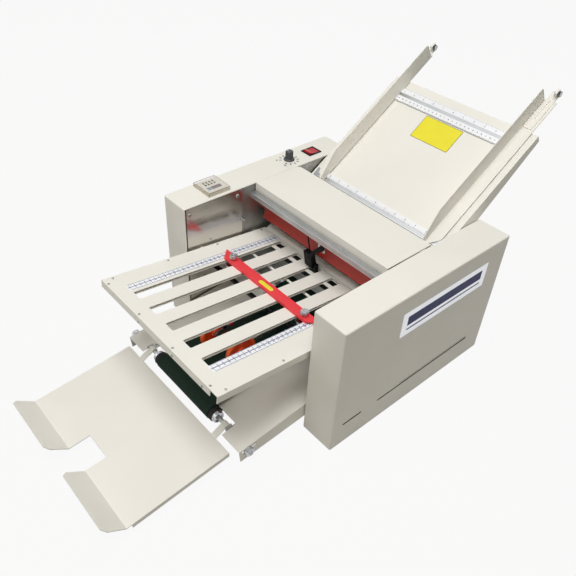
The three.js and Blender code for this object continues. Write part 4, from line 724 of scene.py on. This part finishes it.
def side_label():
    """A silver plate on the right housing, with plain blue bands."""
    x = OUTER_X
    print_x = x + STICKER_THICKNESS
    plate = rounded(*SIDE_LABEL, SIDE_LABEL_CORNER)
    add_label("side_label", LEVEL, "x", plate, x, print_x, LABEL_SILVER)
    for name, band_z in SIDE_BANDS_Z.items():
        outline = rounded(*SIDE_BAND_Y, *band_z, SIDE_BAND_CORNER)
        band = f"side_label_band_{name}"
        add_label(band, LEVEL, "x", outline, print_x, print_x + PRINT_THICKNESS, LABEL_BLUE)


tray_label()
stop_bar_label()
side_label()


# Painted shade: dark sheets behind the slots of the housings' outer sides, and a painted shadow strip on
# each lower lip

COVER_SHEET = 1.5
SHADE_SHEET_GAP = 0.4
SHADE_SHEET_THICKNESS = 0.5
SHADE_SHEET_Y = (20, 376)
SHADE_SHEET_Z = (45, 61)
LIP_SHADOW_STRIP = 0.15
LIP_SHADOW_STRIP_INSET = 0.05
LIP_SHADOW_STRIPS = ((25.2, 70.8, 50), (111.2, 369.8, 50), (169.2, 369.8, 56))


def slot_backings():
    """Painted shade: black sheets keep the slots dark, where the solids alone would let light through."""
    x1 = OUTER_X - COVER_SHEET - SHADE_SHEET_GAP
    x0 = x1 - SHADE_SHEET_THICKNESS
    for side, (lo, hi) in (("left", (-x1, -x0)), ("right", (x0, x1))):
        bm = bmesh.new()
        prism(bm, "x", oblong(*SHADE_SHEET_Y, *SHADE_SHEET_Z), lo, hi)
        # Painted shadow: a thin black strip along each slot's lower lip.
        reach = (x1 + SHADE_SHEET_GAP, OUTER_X - LIP_SHADOW_STRIP_INSET)
        shadow_strip_x = sorted(math.copysign(x, lo) for x in reach)
        for y0, y1, z in LIP_SHADOW_STRIPS:
            prism(bm, "x", oblong(y0, y1, z, z + LIP_SHADOW_STRIP), *shadow_strip_x)
        add_piece(f"slot_shade_sheet_{side}", bm, LEVEL, FINISHES["black_plastic"], "machine")


slot_backings()


# Screws with a domed head and a cross recess, one mesh for all of a size

def screw_mesh(name, radius, height, material):
    rim_share, dome_share, flat_share, arm_share, half_share = 0.35, 0.65, 0.75, 0.6, 0.13
    dome_steps, steps = 5, 20
    bm = bmesh.new()
    dome = [(radius, 0), (radius, height * rim_share)]
    for i in range(1, dome_steps):
        turn = math.pi / 2 * i / dome_steps
        way = height * (rim_share + dome_share * math.sin(turn))
        dome.append((radius * math.cos(turn * flat_share), way))
    turned(bm, "z", (0, 0), [(0, 0), *dome, (0, height)], steps)
    bmesh.ops.recalc_face_normals(bm, faces=bm.faces)
    head = bpy.data.meshes.new(name)
    bm.to_mesh(head)
    bm.free()
    cutter = bmesh.new()
    arm, half = radius * arm_share, radius * half_share
    cross = [
        (arm, half), (half, half), (half, arm), (-half, arm), (-half, half), (-arm, half),
        (-arm, -half), (-half, -half), (-half, -arm), (half, -arm), (half, -half), (arm, -half),
    ]
    prism(cutter, "z", cross, height * 0.5, height * 1.5)
    bmesh.ops.recalc_face_normals(cutter, faces=cutter.faces)
    tool_mesh = bpy.data.meshes.new(name + "_tool")
    cutter.to_mesh(tool_mesh)
    cutter.free()
    whole = bpy.data.objects.new(name, head)
    tool = bpy.data.objects.new(name + "_tool", tool_mesh)
    for holder in (whole, tool):
        bpy.context.scene.collection.objects.link(holder)
    cut = whole.modifiers.new("recess", "BOOLEAN")
    cut.operation = "DIFFERENCE"
    cut.solver = "EXACT"
    cut.object = tool
    graph = bpy.context.evaluated_depsgraph_get()
    mesh = bpy.data.meshes.new_from_object(whole.evaluated_get(graph))
    mesh.name = name
    for holder in (whole, tool):
        bpy.data.objects.remove(holder)
    mesh.transform(Matrix.Scale(MM, 4))
    mesh.materials.clear()
    mesh.materials.append(material)
    mesh.shade_smooth()
    mesh.set_sharp_from_angle(angle=SMOOTH_ANGLE)
    return mesh


SCREW_SMALL = screw_mesh("screw_small", 2.3, 1.3, FINISHES["zinc_steel"])
SCREW_LARGE = screw_mesh("screw_large", 4.2, 2.2, FINISHES["zinc_steel"])


def add_screw(name, mesh, slope, place, out, body="machine"):
    """A screw at a point of a slope, its head towards out: x, along and lift shares."""
    start = slope.at(*place)
    tip = slope.at(*[p + o for p, o in zip(place, out)])
    screw = bpy.data.objects.new(name, mesh)
    screw.rotation_euler = (tip - start).to_track_quat("Z", "Y").to_euler()
    screw.location = start
    bpy.context.scene.collection.objects.link(screw)
    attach(screw, body)


FOLD_SCREW_FACE_X = (-47, 52, 132)
LINING_SCREW_PLACES = ((10.7, 261), (123, 262), (10.7, 30), (123, 30))


def fold_plate_screws():
    """Four screws along each edge of the fold plate, four along its front and three in its front face."""
    edge_x, first, pitch = 164, 19, 113
    front_x, front_pitch, front_along, face_lift = -153, 99.5, 4.6, -9
    for side, sign in (("left", -1), ("right", 1)):
        for i in range(4):
            place = (sign * edge_x, first + pitch * i, 0)
            add_screw(f"fold_screw_{side}_{i + 1}", SCREW_SMALL, FOLD, place, (0, 0, 1))
    for i in range(4):
        place = (front_x + front_pitch * i, front_along, 0)
        add_screw(f"fold_screw_front_{i + 1}", SCREW_SMALL, FOLD, place, (0, 0, 1))
    for i, x in enumerate(FOLD_SCREW_FACE_X):
        add_screw(f"fold_screw_face_{i + 1}", SCREW_SMALL, FOLD, (x, 0, face_lift), (0, -1, 0))


def lining_screws():
    """Four large screws on the inner face of each lining plate."""
    x = box_mm("left_inner_plate")[1].x
    for i, (y, z) in enumerate(LINING_SCREW_PLACES):
        add_screw(f"lining_screw_left_{i + 1}", SCREW_LARGE, LEVEL, (x, y, z), (1, 0, 0))
        add_screw(f"lining_screw_right_{i + 1}", SCREW_LARGE, LEVEL, (-x, y, z), (-1, 0, 0))


fold_plate_screws()
lining_screws()


# Knurled screws and nuts

STOP_SCREW_X = 100
STOP_SCREW_ALONG = 235


def thumbscrew(side, x):
    """A stop bar's screw: collar, ridged grip, cap, shaft and the washer under the fold plate."""
    axis = (x, STOP_SCREW_ALONG)
    collar, grip, ridges, ridge_depth, shaft, washer = 5.2, 7.6, 30, 0.55, 2.5, 14
    seat, collar_end, grip_start, grip_end, shaft_end = 5.0, 7.0, 6.8, 14.2, 5.2
    cap_start, cap_end, dimple_end = 14.0, 14.8, 14.3
    foot, washer_edge, washer_end, chamfer = -8.1, -6.5, -6.1, 0.4
    bm = bmesh.new()
    turned(bm, "z", axis, [(0, seat), (collar, seat), (collar, collar_end), (0, collar_end)], 32)
    prism(bm, "z", ridged(axis, grip, ridges, ridge_depth), grip_start, grip_end)
    turned(bm, "z", axis, [
        (0, cap_start), (6.4, cap_start), (6.0, cap_end), (2.6, cap_end), (2.2, dimple_end), (0, dimple_end),
    ], 32)
    turned(bm, "z", axis, [(0, foot), (shaft, foot), (shaft, shaft_end), (0, shaft_end)], 24)
    turned(bm, "z", axis, [
        (0, foot), (washer, foot), (washer, washer_edge), (washer - chamfer, washer_end), (0, washer_end),
    ], 40)
    name = f"stop_thumbscrew_{side}"
    body = f"stop_screw_{side}"
    add_piece("knurled_" + name, bm, FOLD, FINISHES["bright_steel"], body, 0, [name])


TENSION_NUT_CENTRE = (0, -7)


def tension_nut(side, sign):
    """A ridged nut at the side of the conveyor, with a chamfered face and its screw's tip."""
    lo, hi = box_mm(f"tension_nut_{side}")
    x0, x1 = sorted((sign * min(abs(lo.x), abs(hi.x)), sign * max(abs(lo.x), abs(hi.x))))
    centre = TENSION_NUT_CENTRE
    grip, ridges, ridge_depth = 8.5, 26, 0.6
    boss, boss_edge, boss_hole, bolt, bolt_tip = 6.0, 5.4, 3.2, 3.0, 2.4
    bm = bmesh.new()
    prism(bm, "x", ridged(centre, grip, ridges, ridge_depth), x0, x1)
    end = x1 if sign > 0 else x0
    face, stub, tip = (end + sign * way for way in (0.8, 2.6, 3.1))
    boss_profile = [(0, end), (boss, end), (boss_edge, face), (boss_hole, face), (0, face)]
    turned(bm, "x", centre, boss_profile, 28)
    turned(bm, "x", centre, [(0, end), (bolt, end), (bolt, stub), (bolt_tip, tip), (0, tip)], 24)
    name = f"tension_nut_{side}"
    add_piece("knurled_" + name, bm, BELT, FINISHES["bright_steel"], name, 0, [name])


TIP_HEAD_LENGTH = 9


def tip_screw(side):
    """The knurled screw at the tip of a guide's extension, with a painted reflection on its grip: a darker
    copy of the plated steel stands in for the dark surroundings that chrome reflects.
    """
    node = f"guide_lock_screw_{side}"
    lo, hi = box_mm(node)
    centre = ((lo.y + hi.y) / 2 - FRONT_Y, (lo.z + hi.z) / 2)
    radius = (hi.z - lo.z) / 2
    head, ridges, ridge_depth = TIP_HEAD_LENGTH, 24, 0.6
    bm = bmesh.new()
    prism(bm, "x", ridged(centre, radius, ridges, ridge_depth), hi.x - head, hi.x - 0.6)
    body = f"tip_screw_{side}"
    # The grip takes the painted reflection; the cap and shaft stay bright.
    add_piece("knurled_" + node, bm, LEVEL, CHROME_PAINTED_REFLECTION, body, 0, [node])
    rim, edge, dimple, dimple_foot = radius - 1, radius - 1.6, 3, 2.6
    shaft, chamfer, seat, dimple_x = 2, 0.4, hi.x - 0.8, hi.x - 0.5
    bright = bmesh.new()
    turned(bright, "x", centre, [
        (0, seat), (rim, seat), (edge, hi.x), (dimple, hi.x), (dimple_foot, dimple_x), (0, dimple_x),
    ], 40)
    turned(bright, "x", centre, [
        (0, lo.x), (shaft - chamfer, lo.x), (shaft, lo.x + chamfer), (shaft, hi.x - head), (0, hi.x - head),
    ], 24)
    add_piece("bright_" + node, bright, LEVEL, FINISHES["bright_steel"], body)


for side_name, side_sign in (("left", -1), ("right", 1)):
    thumbscrew(side_name, side_sign * STOP_SCREW_X)
    tension_nut(side_name, side_sign)
    tip_screw(side_name)


# Round parts, turned finely in place of their faceted solids

def roller_axis(node):
    """The axis of a part that turns about x, as Y and Z from the housings' front."""
    lo, hi = box_mm(node)
    return ((lo.y + hi.y) / 2 - FRONT_Y, (lo.z + hi.z) / 2)


ROLLER_STEPS = 64


def replace_roller(node, body, profile, material):
    """A turned roller, shown in place of the solid of that name."""
    bm = bmesh.new()
    turned(bm, "x", roller_axis(node), profile, ROLLER_STEPS)
    add_piece("turned_" + node, bm, LEVEL, material, body, 0, [node])


def fold_roller_profile(lo, hi):
    """A shaft from lo to hi with the wider rubber or steel in its middle."""
    shaft, rubber, half, chamfer = 6, 16, 165, 0.8
    return [
        (0, lo), (shaft - chamfer, lo), (shaft, lo + chamfer), (shaft, -half), (rubber - chamfer, -half),
        (rubber, -half + chamfer), (rubber, half - chamfer), (rubber - chamfer, half), (shaft, half),
        (shaft, hi - chamfer), (shaft - chamfer, hi), (0, hi),
    ]


def turn_rollers():
    for name in ("upper", "main", "second", "lower"):
        node = f"{name}_fold_roller"
        lo, hi = box_mm(node)
        slot = "bright_steel" if name == "main" else "gray_rubber"
        replace_roller(node, f"{name}_roller", fold_roller_profile(lo.x, hi.x), FINISHES[slot])


turn_rollers()


def front_roller():
    """The conveyor's front roller: a steel core with dished hubs and a rubber ring by each."""
    ring, core, hub, recess, inner = 13, 11.7, 11, 8.5, 4.3
    belt_half, ring_half, hub_half, depth = 78.6, 88, 95, 2.5
    lip, edge, ring_edge, ring_sink = 0.4, 0.5, 0.6, 0.4
    steel = bmesh.new()
    half = [
        (inner, hub_half - depth), (recess, hub_half - depth),
        (recess, hub_half - lip), (recess + lip, hub_half),
        (hub - edge, hub_half), (hub, hub_half - edge), (hub, ring_half),
    ]
    profile = [*half, (core, ring_half), (core, -ring_half), *[(r, -w) for r, w in reversed(half)]]
    turned(steel, "x", (0, 0), profile, 48)
    add_piece("turned_conveyor_front_roller", steel, BELT, FINISHES["bright_steel"], "conveyor_front",
              0, ["conveyor_front_roller"])
    for side, sign in (("left", -1), ("right", 1)):
        rubber = bmesh.new()
        lo, hi = sorted((sign * belt_half, sign * ring_half))
        turned(rubber, "x", (0, 0), [
            (core - ring_sink, lo), (ring - ring_edge, lo), (ring, lo + ring_edge),
            (ring, hi - ring_edge), (ring - ring_edge, hi), (core - ring_sink, hi),
        ], 48)
        material = FINISHES["black_rubber"]
        add_piece(f"roller_ring_{side}", rubber, BELT, material, "conveyor_front")


front_roller()


def belt_loop():
    """The belt with finely rounded ends, seen over the front roller."""
    length, outer, inner, half, steps = 312.8, 14, 12, 78, 32
    bm = bmesh.new()
    rings = []
    for radius, x in ((outer, -half), (outer, half), (inner, half), (inner, -half)):
        ring = []
        for centre, start in ((length, -90), (0, 90)):
            for i in range(steps + 1):
                turn = math.radians(start + 180 * i / steps)
                ring.append(bm.verts.new((x, centre + radius * math.cos(turn), radius * math.sin(turn))))
        rings.append(ring)
    for a, b in zip(rings, rings[1:] + rings[:1]):
        for i in range(len(a)):
            j = (i + 1) % len(a)
            bm.faces.new((a[i], a[j], b[j], b[i]))
    material = FINISHES["green_belt"]
    add_piece("fine_conveyor_belt", bm, BELT, material, "machine", 0, ["conveyor_belt"])


belt_loop()


# Press wheels: a dished wheel with a raised rim and three holes

WHEEL_RADIUS = 31
WHEEL_HALF = 4.5
WHEEL_HOLE_ANGLES = {"left": 133, "right": 90}
WHEEL_HOLE_COUNT = 3
WHEEL_HOLE_CIRCLE = 15.5
WHEEL_HOLE_RADIUS = 3.6
WHEEL_DISH_SHADE_RADIUS = 24.5
# Painted shade: a darker orange for the dish inside the wheel's rim.
WHEEL_DISH_SHADE = moulded_plastic("wheel_dish_shade", 0xF04A1A, 0.42)


def wheel_outline(bm, centre, middle_x):
    """The wheel's cross section, turned. Its holes are cut afterwards."""
    rim, dish, hub, bore, depth = 24, 2.2, 8, 3.3, WHEEL_HALF
    edge, draft, rim_drop, tread = 0.5, 0.8, 0.4, 1.6
    half = [
        (bore, depth), (hub - edge, depth), (hub, depth - edge),
        (hub + draft, depth - dish), (rim - draft, depth - dish), (rim, depth - rim_drop),
        (rim + edge, depth), (WHEEL_RADIUS - tread, depth), (WHEEL_RADIUS, depth - tread),
    ]
    profile = [(r, middle_x + w) for r, w in half] + [(r, middle_x - w) for r, w in reversed(half)]
    turned(bm, "x", centre, profile, 96)


def mesh_from(bm, name):
    bmesh.ops.recalc_face_normals(bm, faces=bm.faces)
    mesh = bpy.data.meshes.new(name)
    bm.to_mesh(mesh)
    bm.free()
    return mesh


def cut_away(bm, tools, name):
    """The mesh less the tools, each a closed mesh."""
    whole = bpy.data.objects.new(name, mesh_from(bm, name))
    bpy.context.scene.collection.objects.link(whole)
    holders = [whole]
    for tool_bm in tools:
        tool = bpy.data.objects.new(name + "_tool", mesh_from(tool_bm, name + "_tool"))
        bpy.context.scene.collection.objects.link(tool)
        holders.append(tool)
        cut = whole.modifiers.new("cut", "BOOLEAN")
        cut.operation = "DIFFERENCE"
        cut.solver = "EXACT"
        cut.object = tool
    graph = bpy.context.evaluated_depsgraph_get()
    result = bmesh.new()
    result.from_mesh(whole.evaluated_get(graph).to_mesh())
    for holder in holders:
        bpy.data.objects.remove(holder)
    return result


def press_wheel(side):
    """A wheel in place of its solid, with painted shade: a deeper orange on the flat faces inside its rim.
    """
    node = f"press_wheel_{side}"
    lo, hi = box_mm(node)
    centre = roller_axis(node)
    middle_x = (lo.x + hi.x) / 2
    bm = bmesh.new()
    wheel_outline(bm, centre, middle_x)
    tools = []
    reach, radius, overrun = WHEEL_HOLE_CIRCLE, WHEEL_HOLE_RADIUS, 5
    for i in range(WHEEL_HOLE_COUNT):
        turn = math.radians(WHEEL_HOLE_ANGLES[side] + 360 / WHEEL_HOLE_COUNT * i)
        at = (centre[0] + reach * math.cos(turn), centre[1] + reach * math.sin(turn))
        start, end = lo.x - overrun, hi.x + overrun
        tool = bmesh.new()
        turned(tool, "x", at, [(0, start), (radius, start), (radius, end), (0, end)], 24)
        tools.append(tool)
    wheel = cut_away(bm, tools, node)
    material = FINISHES["orange_plastic"]
    piece = add_piece("dished_" + node, wheel, LEVEL, material, node, 0, [node])
    piece.data.materials.append(WHEEL_DISH_SHADE)
    # The flat faces inside the rim take the painted shade.
    for face in piece.data.polygons:
        y, z = face.center.y / MM - FRONT_Y - centre[0], face.center.z / MM - centre[1]
        if math.hypot(y, z) < WHEEL_DISH_SHADE_RADIUS and abs(face.normal.x) > 0.5:
            face.material_index = 1


for side_name in ("left", "right"):
    press_wheel(side_name)


# The press arms' collar and rods, seen through the slots

ARM_ROD_LIFT = 7.4
ARM_ROD_RADIUS = 1.1
ARM_ROD_OFFSET = 2.4
CLAMP_HALF = 5
CLAMP_LENGTH = 8
CLAMP_DROP = 2.6
CLAMP_RISE = 2.2
COLLAR_HALF = 6
COLLAR_HALF_HEIGHT = 4
COLLAR_ALONG = (27, 36)


def press_arm_fittings(side):
    """A pair of bright rods in dark clamps along the arm, and a red collar on the left one."""
    y0, z0 = roller_axis(f"press_wheel_{side}")
    y1, z1 = roller_axis("press_wheel_shaft")
    lo, hi = box_mm(f"press_arm_{side}")
    x = (lo.x + hi.x) / 2
    reach = math.hypot(y1 - y0, z1 - z0)
    arm = Slope(FRONT_Y + y0, z0, math.degrees(math.atan2(z1 - z0, y1 - y0)))
    body = f"press_arm_{side}"
    r, lift, start, end = ARM_ROD_RADIUS, ARM_ROD_LIFT, 16, reach - 4
    rods = bmesh.new()
    for rod_x in (x - ARM_ROD_OFFSET, x + ARM_ROD_OFFSET):
        turned(rods, "y", (rod_x, lift), [(0, start), (r, start), (r, end), (0, end)], 16)
    add_piece(f"press_arm_rods_{side}", rods, arm, FINISHES["bright_steel"], body)
    clamps = bmesh.new()
    outline = rounded(x - CLAMP_HALF, x + CLAMP_HALF, lift - CLAMP_DROP, lift + CLAMP_RISE, 1, 3)
    for along in (15, reach - 14):
        prism(clamps, "y", outline, along, along + CLAMP_LENGTH)
    add_piece(f"press_arm_clamps_{side}", clamps, arm, BLACK_OXIDE_AND_SHADE, body, bevel=0.4)
    if side == "left":
        collar = bmesh.new()
        w, h = COLLAR_HALF, COLLAR_HALF_HEIGHT
        prism(collar, "y", rounded(x - w, x + w, lift - h, lift + h, 3, 5), *COLLAR_ALONG)
        add_piece("press_arm_collar", collar, arm, FINISHES["red_paint"], body, bevel=0.8)


for side_name in ("left", "right"):
    press_arm_fittings(side_name)


# Controls on the left housing

KNOB_SKIRT = 11.5
KNOB_SKIRT_EDGE = 0.3
KNOB_STEM = 8.6
KNOB_GRIP = 8.1
KNOB_CAP = 7.6
POINTER_ANGLE = -60
POINTER_HALF = 0.6
POINTER_REACH = (1.5, 7.2)
DIAL_MARKS = 11
DIAL_START = 240
DIAL_STEP = 30
DIAL_RADII = (16, 21.5)
DIAL_MARK_HALF = 1.2
DIAL_NUMBER_RADIUS = 26
DIAL_NUMBER_HEIGHT = 6


def speed_knob():
    """The knob with its pointer line, and the dial's marks printed round it."""
    lo, hi = box_mm("speed_knob")
    centre = ((lo.x + hi.x) / 2, (lo.y + hi.y) / 2 - FRONT_Y)
    base, top = TOP_Z + 0.3, hi.z
    bm = bmesh.new()
    skirt, stem, stem_end = KNOB_SKIRT, KNOB_STEM, base + 4.2
    turned(bm, "z", centre, [
        (0, base), (skirt - KNOB_SKIRT_EDGE, base), (skirt, base + 0.4), (skirt, base + 2),
        (skirt - 0.9, base + 3.2), (stem, stem_end), (0, stem_end),
    ], 64)
    prism(bm, "z", ridged(centre, KNOB_GRIP, 24, 0.6), base + 3.6, top - 1.0)
    cap, cap_start, cap_edge = KNOB_CAP, top - 1.4, top - 0.8
    cap_profile = [(0, cap_start), (cap, cap_start), (cap, cap_edge), (cap - 0.8, top - 0.1), (0, top)]
    turned(bm, "z", centre, cap_profile, 48)
    add_piece("ridged_speed_knob", bm, LEVEL, KNOB_GREY, "speed_knob", 0, ["speed_knob"])
    line = bmesh.new()
    turn = math.radians(POINTER_ANGLE)
    across, along = Vector((math.cos(turn), math.sin(turn))), Vector((-math.sin(turn), math.cos(turn)))
    corners = oblong(-POINTER_HALF, POINTER_HALF, *POINTER_REACH)
    outline = [tuple(Vector(centre) + across * u - along * v) for u, v in corners]
    prism(line, "z", outline, top - 0.5, top + 0.05)
    add_piece("speed_knob_line", line, LEVEL, FINISHES["white_plastic"], "speed_knob")
    dial = bmesh.new()
    for i in range(DIAL_MARKS):
        angle = math.radians(DIAL_START - DIAL_STEP * i)
        ray = Vector((math.cos(angle), math.sin(angle)))
        side = Vector((-ray.y, ray.x)) * DIAL_MARK_HALF
        inner, outer = (Vector(centre) + ray * radius for radius in DIAL_RADII)
        outline = [tuple(p) for p in (inner - side, outer - side, outer + side, inner + side)]
        prism(dial, "z", outline, TOP_Z, TOP_Z + PRINT_THICKNESS)
    for number in (0, DIAL_MARKS - 1):
        angle = math.radians(DIAL_START - DIAL_STEP * number)
        at = Vector(centre) + Vector((math.cos(angle), math.sin(angle))) * DIAL_NUMBER_RADIUS
        add_number(dial, number, at.x, at.y, TOP_Z, DIAL_NUMBER_HEIGHT)
    add_piece("speed_dial_print", dial, LEVEL, INK_BLACK, "machine")


BEZEL_X = (-220.5, -191.5)
BEZEL_Y = (327, 361)
BEZEL_HEIGHT = 1.8


def rocker_bezel():
    """A raised frame round the rocker, wide enough at its ends for the rocker's swing."""
    (x0, x1), (y0, y1) = BEZEL_X, BEZEL_Y
    lo, hi = box_mm("power_rocker")
    side_gap, swing_gap = 0.4, 1.6
    near, far = lo.y - FRONT_Y - swing_gap, hi.y - FRONT_Y + swing_gap
    bm = bmesh.new()
    bars = [
        (x0, x1, y0, near),
        (x0, x1, far, y1),
        (x0, lo.x - side_gap, near, far),
        (hi.x + side_gap, x1, near, far),
    ]
    for a, b, c, d in bars:
        prism(bm, "z", oblong(a, b, c, d), TOP_Z, TOP_Z + BEZEL_HEIGHT)
    add_piece("rocker_bezel", bm, LEVEL, FINISHES["black_plastic"], "machine", 0.5)


LINING_PIN_PLACE = (136, 204)
LINING_PIN_RADIUS = 2.4
LINING_PIN_LENGTH = 6


def lining_pin():
    """A bright pin near the rear edge of the left lining."""
    x = box_mm("left_inner_plate")[1].x
    r, end, chamfer = LINING_PIN_RADIUS, x + LINING_PIN_LENGTH, 0.6
    bm = bmesh.new()
    turned(bm, "x", LINING_PIN_PLACE, [(0, x), (r, x), (r, end - chamfer), (r - chamfer, end), (0, end)], 24)
    add_piece("lining_pin", bm, LEVEL, FINISHES["bright_steel"], "machine")


KEY_HALF = (2.6, 1.5)
KEY_START = (-4.5, -10.5)
KEY_PITCH = (8, 7)
KEY_HEIGHT = 0.8
WINDOW_RIM = (3, 15.5, -17, 17)
WINDOW_X = (4.5, 14)
WINDOW_Y = (-7, 15.5)
LAMP_Y = (-15.5, -8.5)
RIM_HEIGHT = 0.3
WINDOW_LIFT = (0.2, 0.6)


def counter_face():
    """Keys and a bare window on the counter, under its clear lid."""
    lo, hi = box_mm("counter_case")
    x, y = (lo.x + hi.x) / 2, (lo.y + hi.y) / 2 - FRONT_Y
    top = hi.z
    key_x, key_y = KEY_HALF
    keys = bmesh.new()
    for row in range(2):
        for column in range(4):
            u = x + KEY_START[0] - KEY_PITCH[0] * row
            v = y + KEY_START[1] + KEY_PITCH[1] * column
            outline = rounded(u - key_x, u + key_x, v - key_y, v + key_y, 0.6, 3)
            prism(keys, "z", outline, top, top + KEY_HEIGHT)
    add_piece("counter_keys", keys, LEVEL, INK_BLACK, "machine", bevel=0.15)

    def flat(name, x_range, y_range, corner, lifts, material):
        bm = bmesh.new()
        outline = rounded(x + x_range[0], x + x_range[1], y + y_range[0], y + y_range[1], corner, 3)
        prism(bm, "z", outline, top + lifts[0], top + lifts[1])
        add_piece(name, bm, LEVEL, material, "machine")

    flat("counter_window_rim", WINDOW_RIM[:2], WINDOW_RIM[2:], 1, (0, RIM_HEIGHT), COUNTER_RIM)
    flat("counter_window", WINDOW_X, WINDOW_Y, 0.8, WINDOW_LIFT, DISPLAY_RED)
    flat("counter_lamp", WINDOW_X, LAMP_Y, 0.8, WINDOW_LIFT, DISPLAY_BLUE)


LID_WALL = 1.5
LID_EDGE_AREA = 90 * MM * MM


def counter_lid():
    """The clear lid, whose narrow edges show darker than its faces."""
    lo, hi = box_mm("counter_cover")
    y0, y1 = lo.y - FRONT_Y, hi.y - FRONT_Y
    w = LID_WALL
    bm = bmesh.new()
    prism(bm, "z", rounded(lo.x, hi.x, y0, y1, 2, 4), hi.z - w, hi.z)
    for x0, x1, v0, v1 in (
        (lo.x, hi.x, y0, y0 + w),
        (lo.x, hi.x, y1 - w, y1),
        (lo.x, lo.x + w, y0 + w, y1 - w),
        (hi.x - w, hi.x, y0 + w, y1 - w),
    ):
        prism(bm, "z", oblong(x0, x1, v0, v1), lo.z, hi.z - w)
    lid = add_piece(
        "clear_counter_lid", bm, LEVEL, FINISHES["clear_plastic"],
        "counter_cover", 0.35, ["counter_cover"],
    )
    lid.data.materials.append(ACRYLIC_EDGE)
    for face in lid.data.polygons:
        if face.area < LID_EDGE_AREA:
            face.material_index = 1


speed_knob()
rocker_bezel()
lining_pin()
counter_face()
counter_lid()
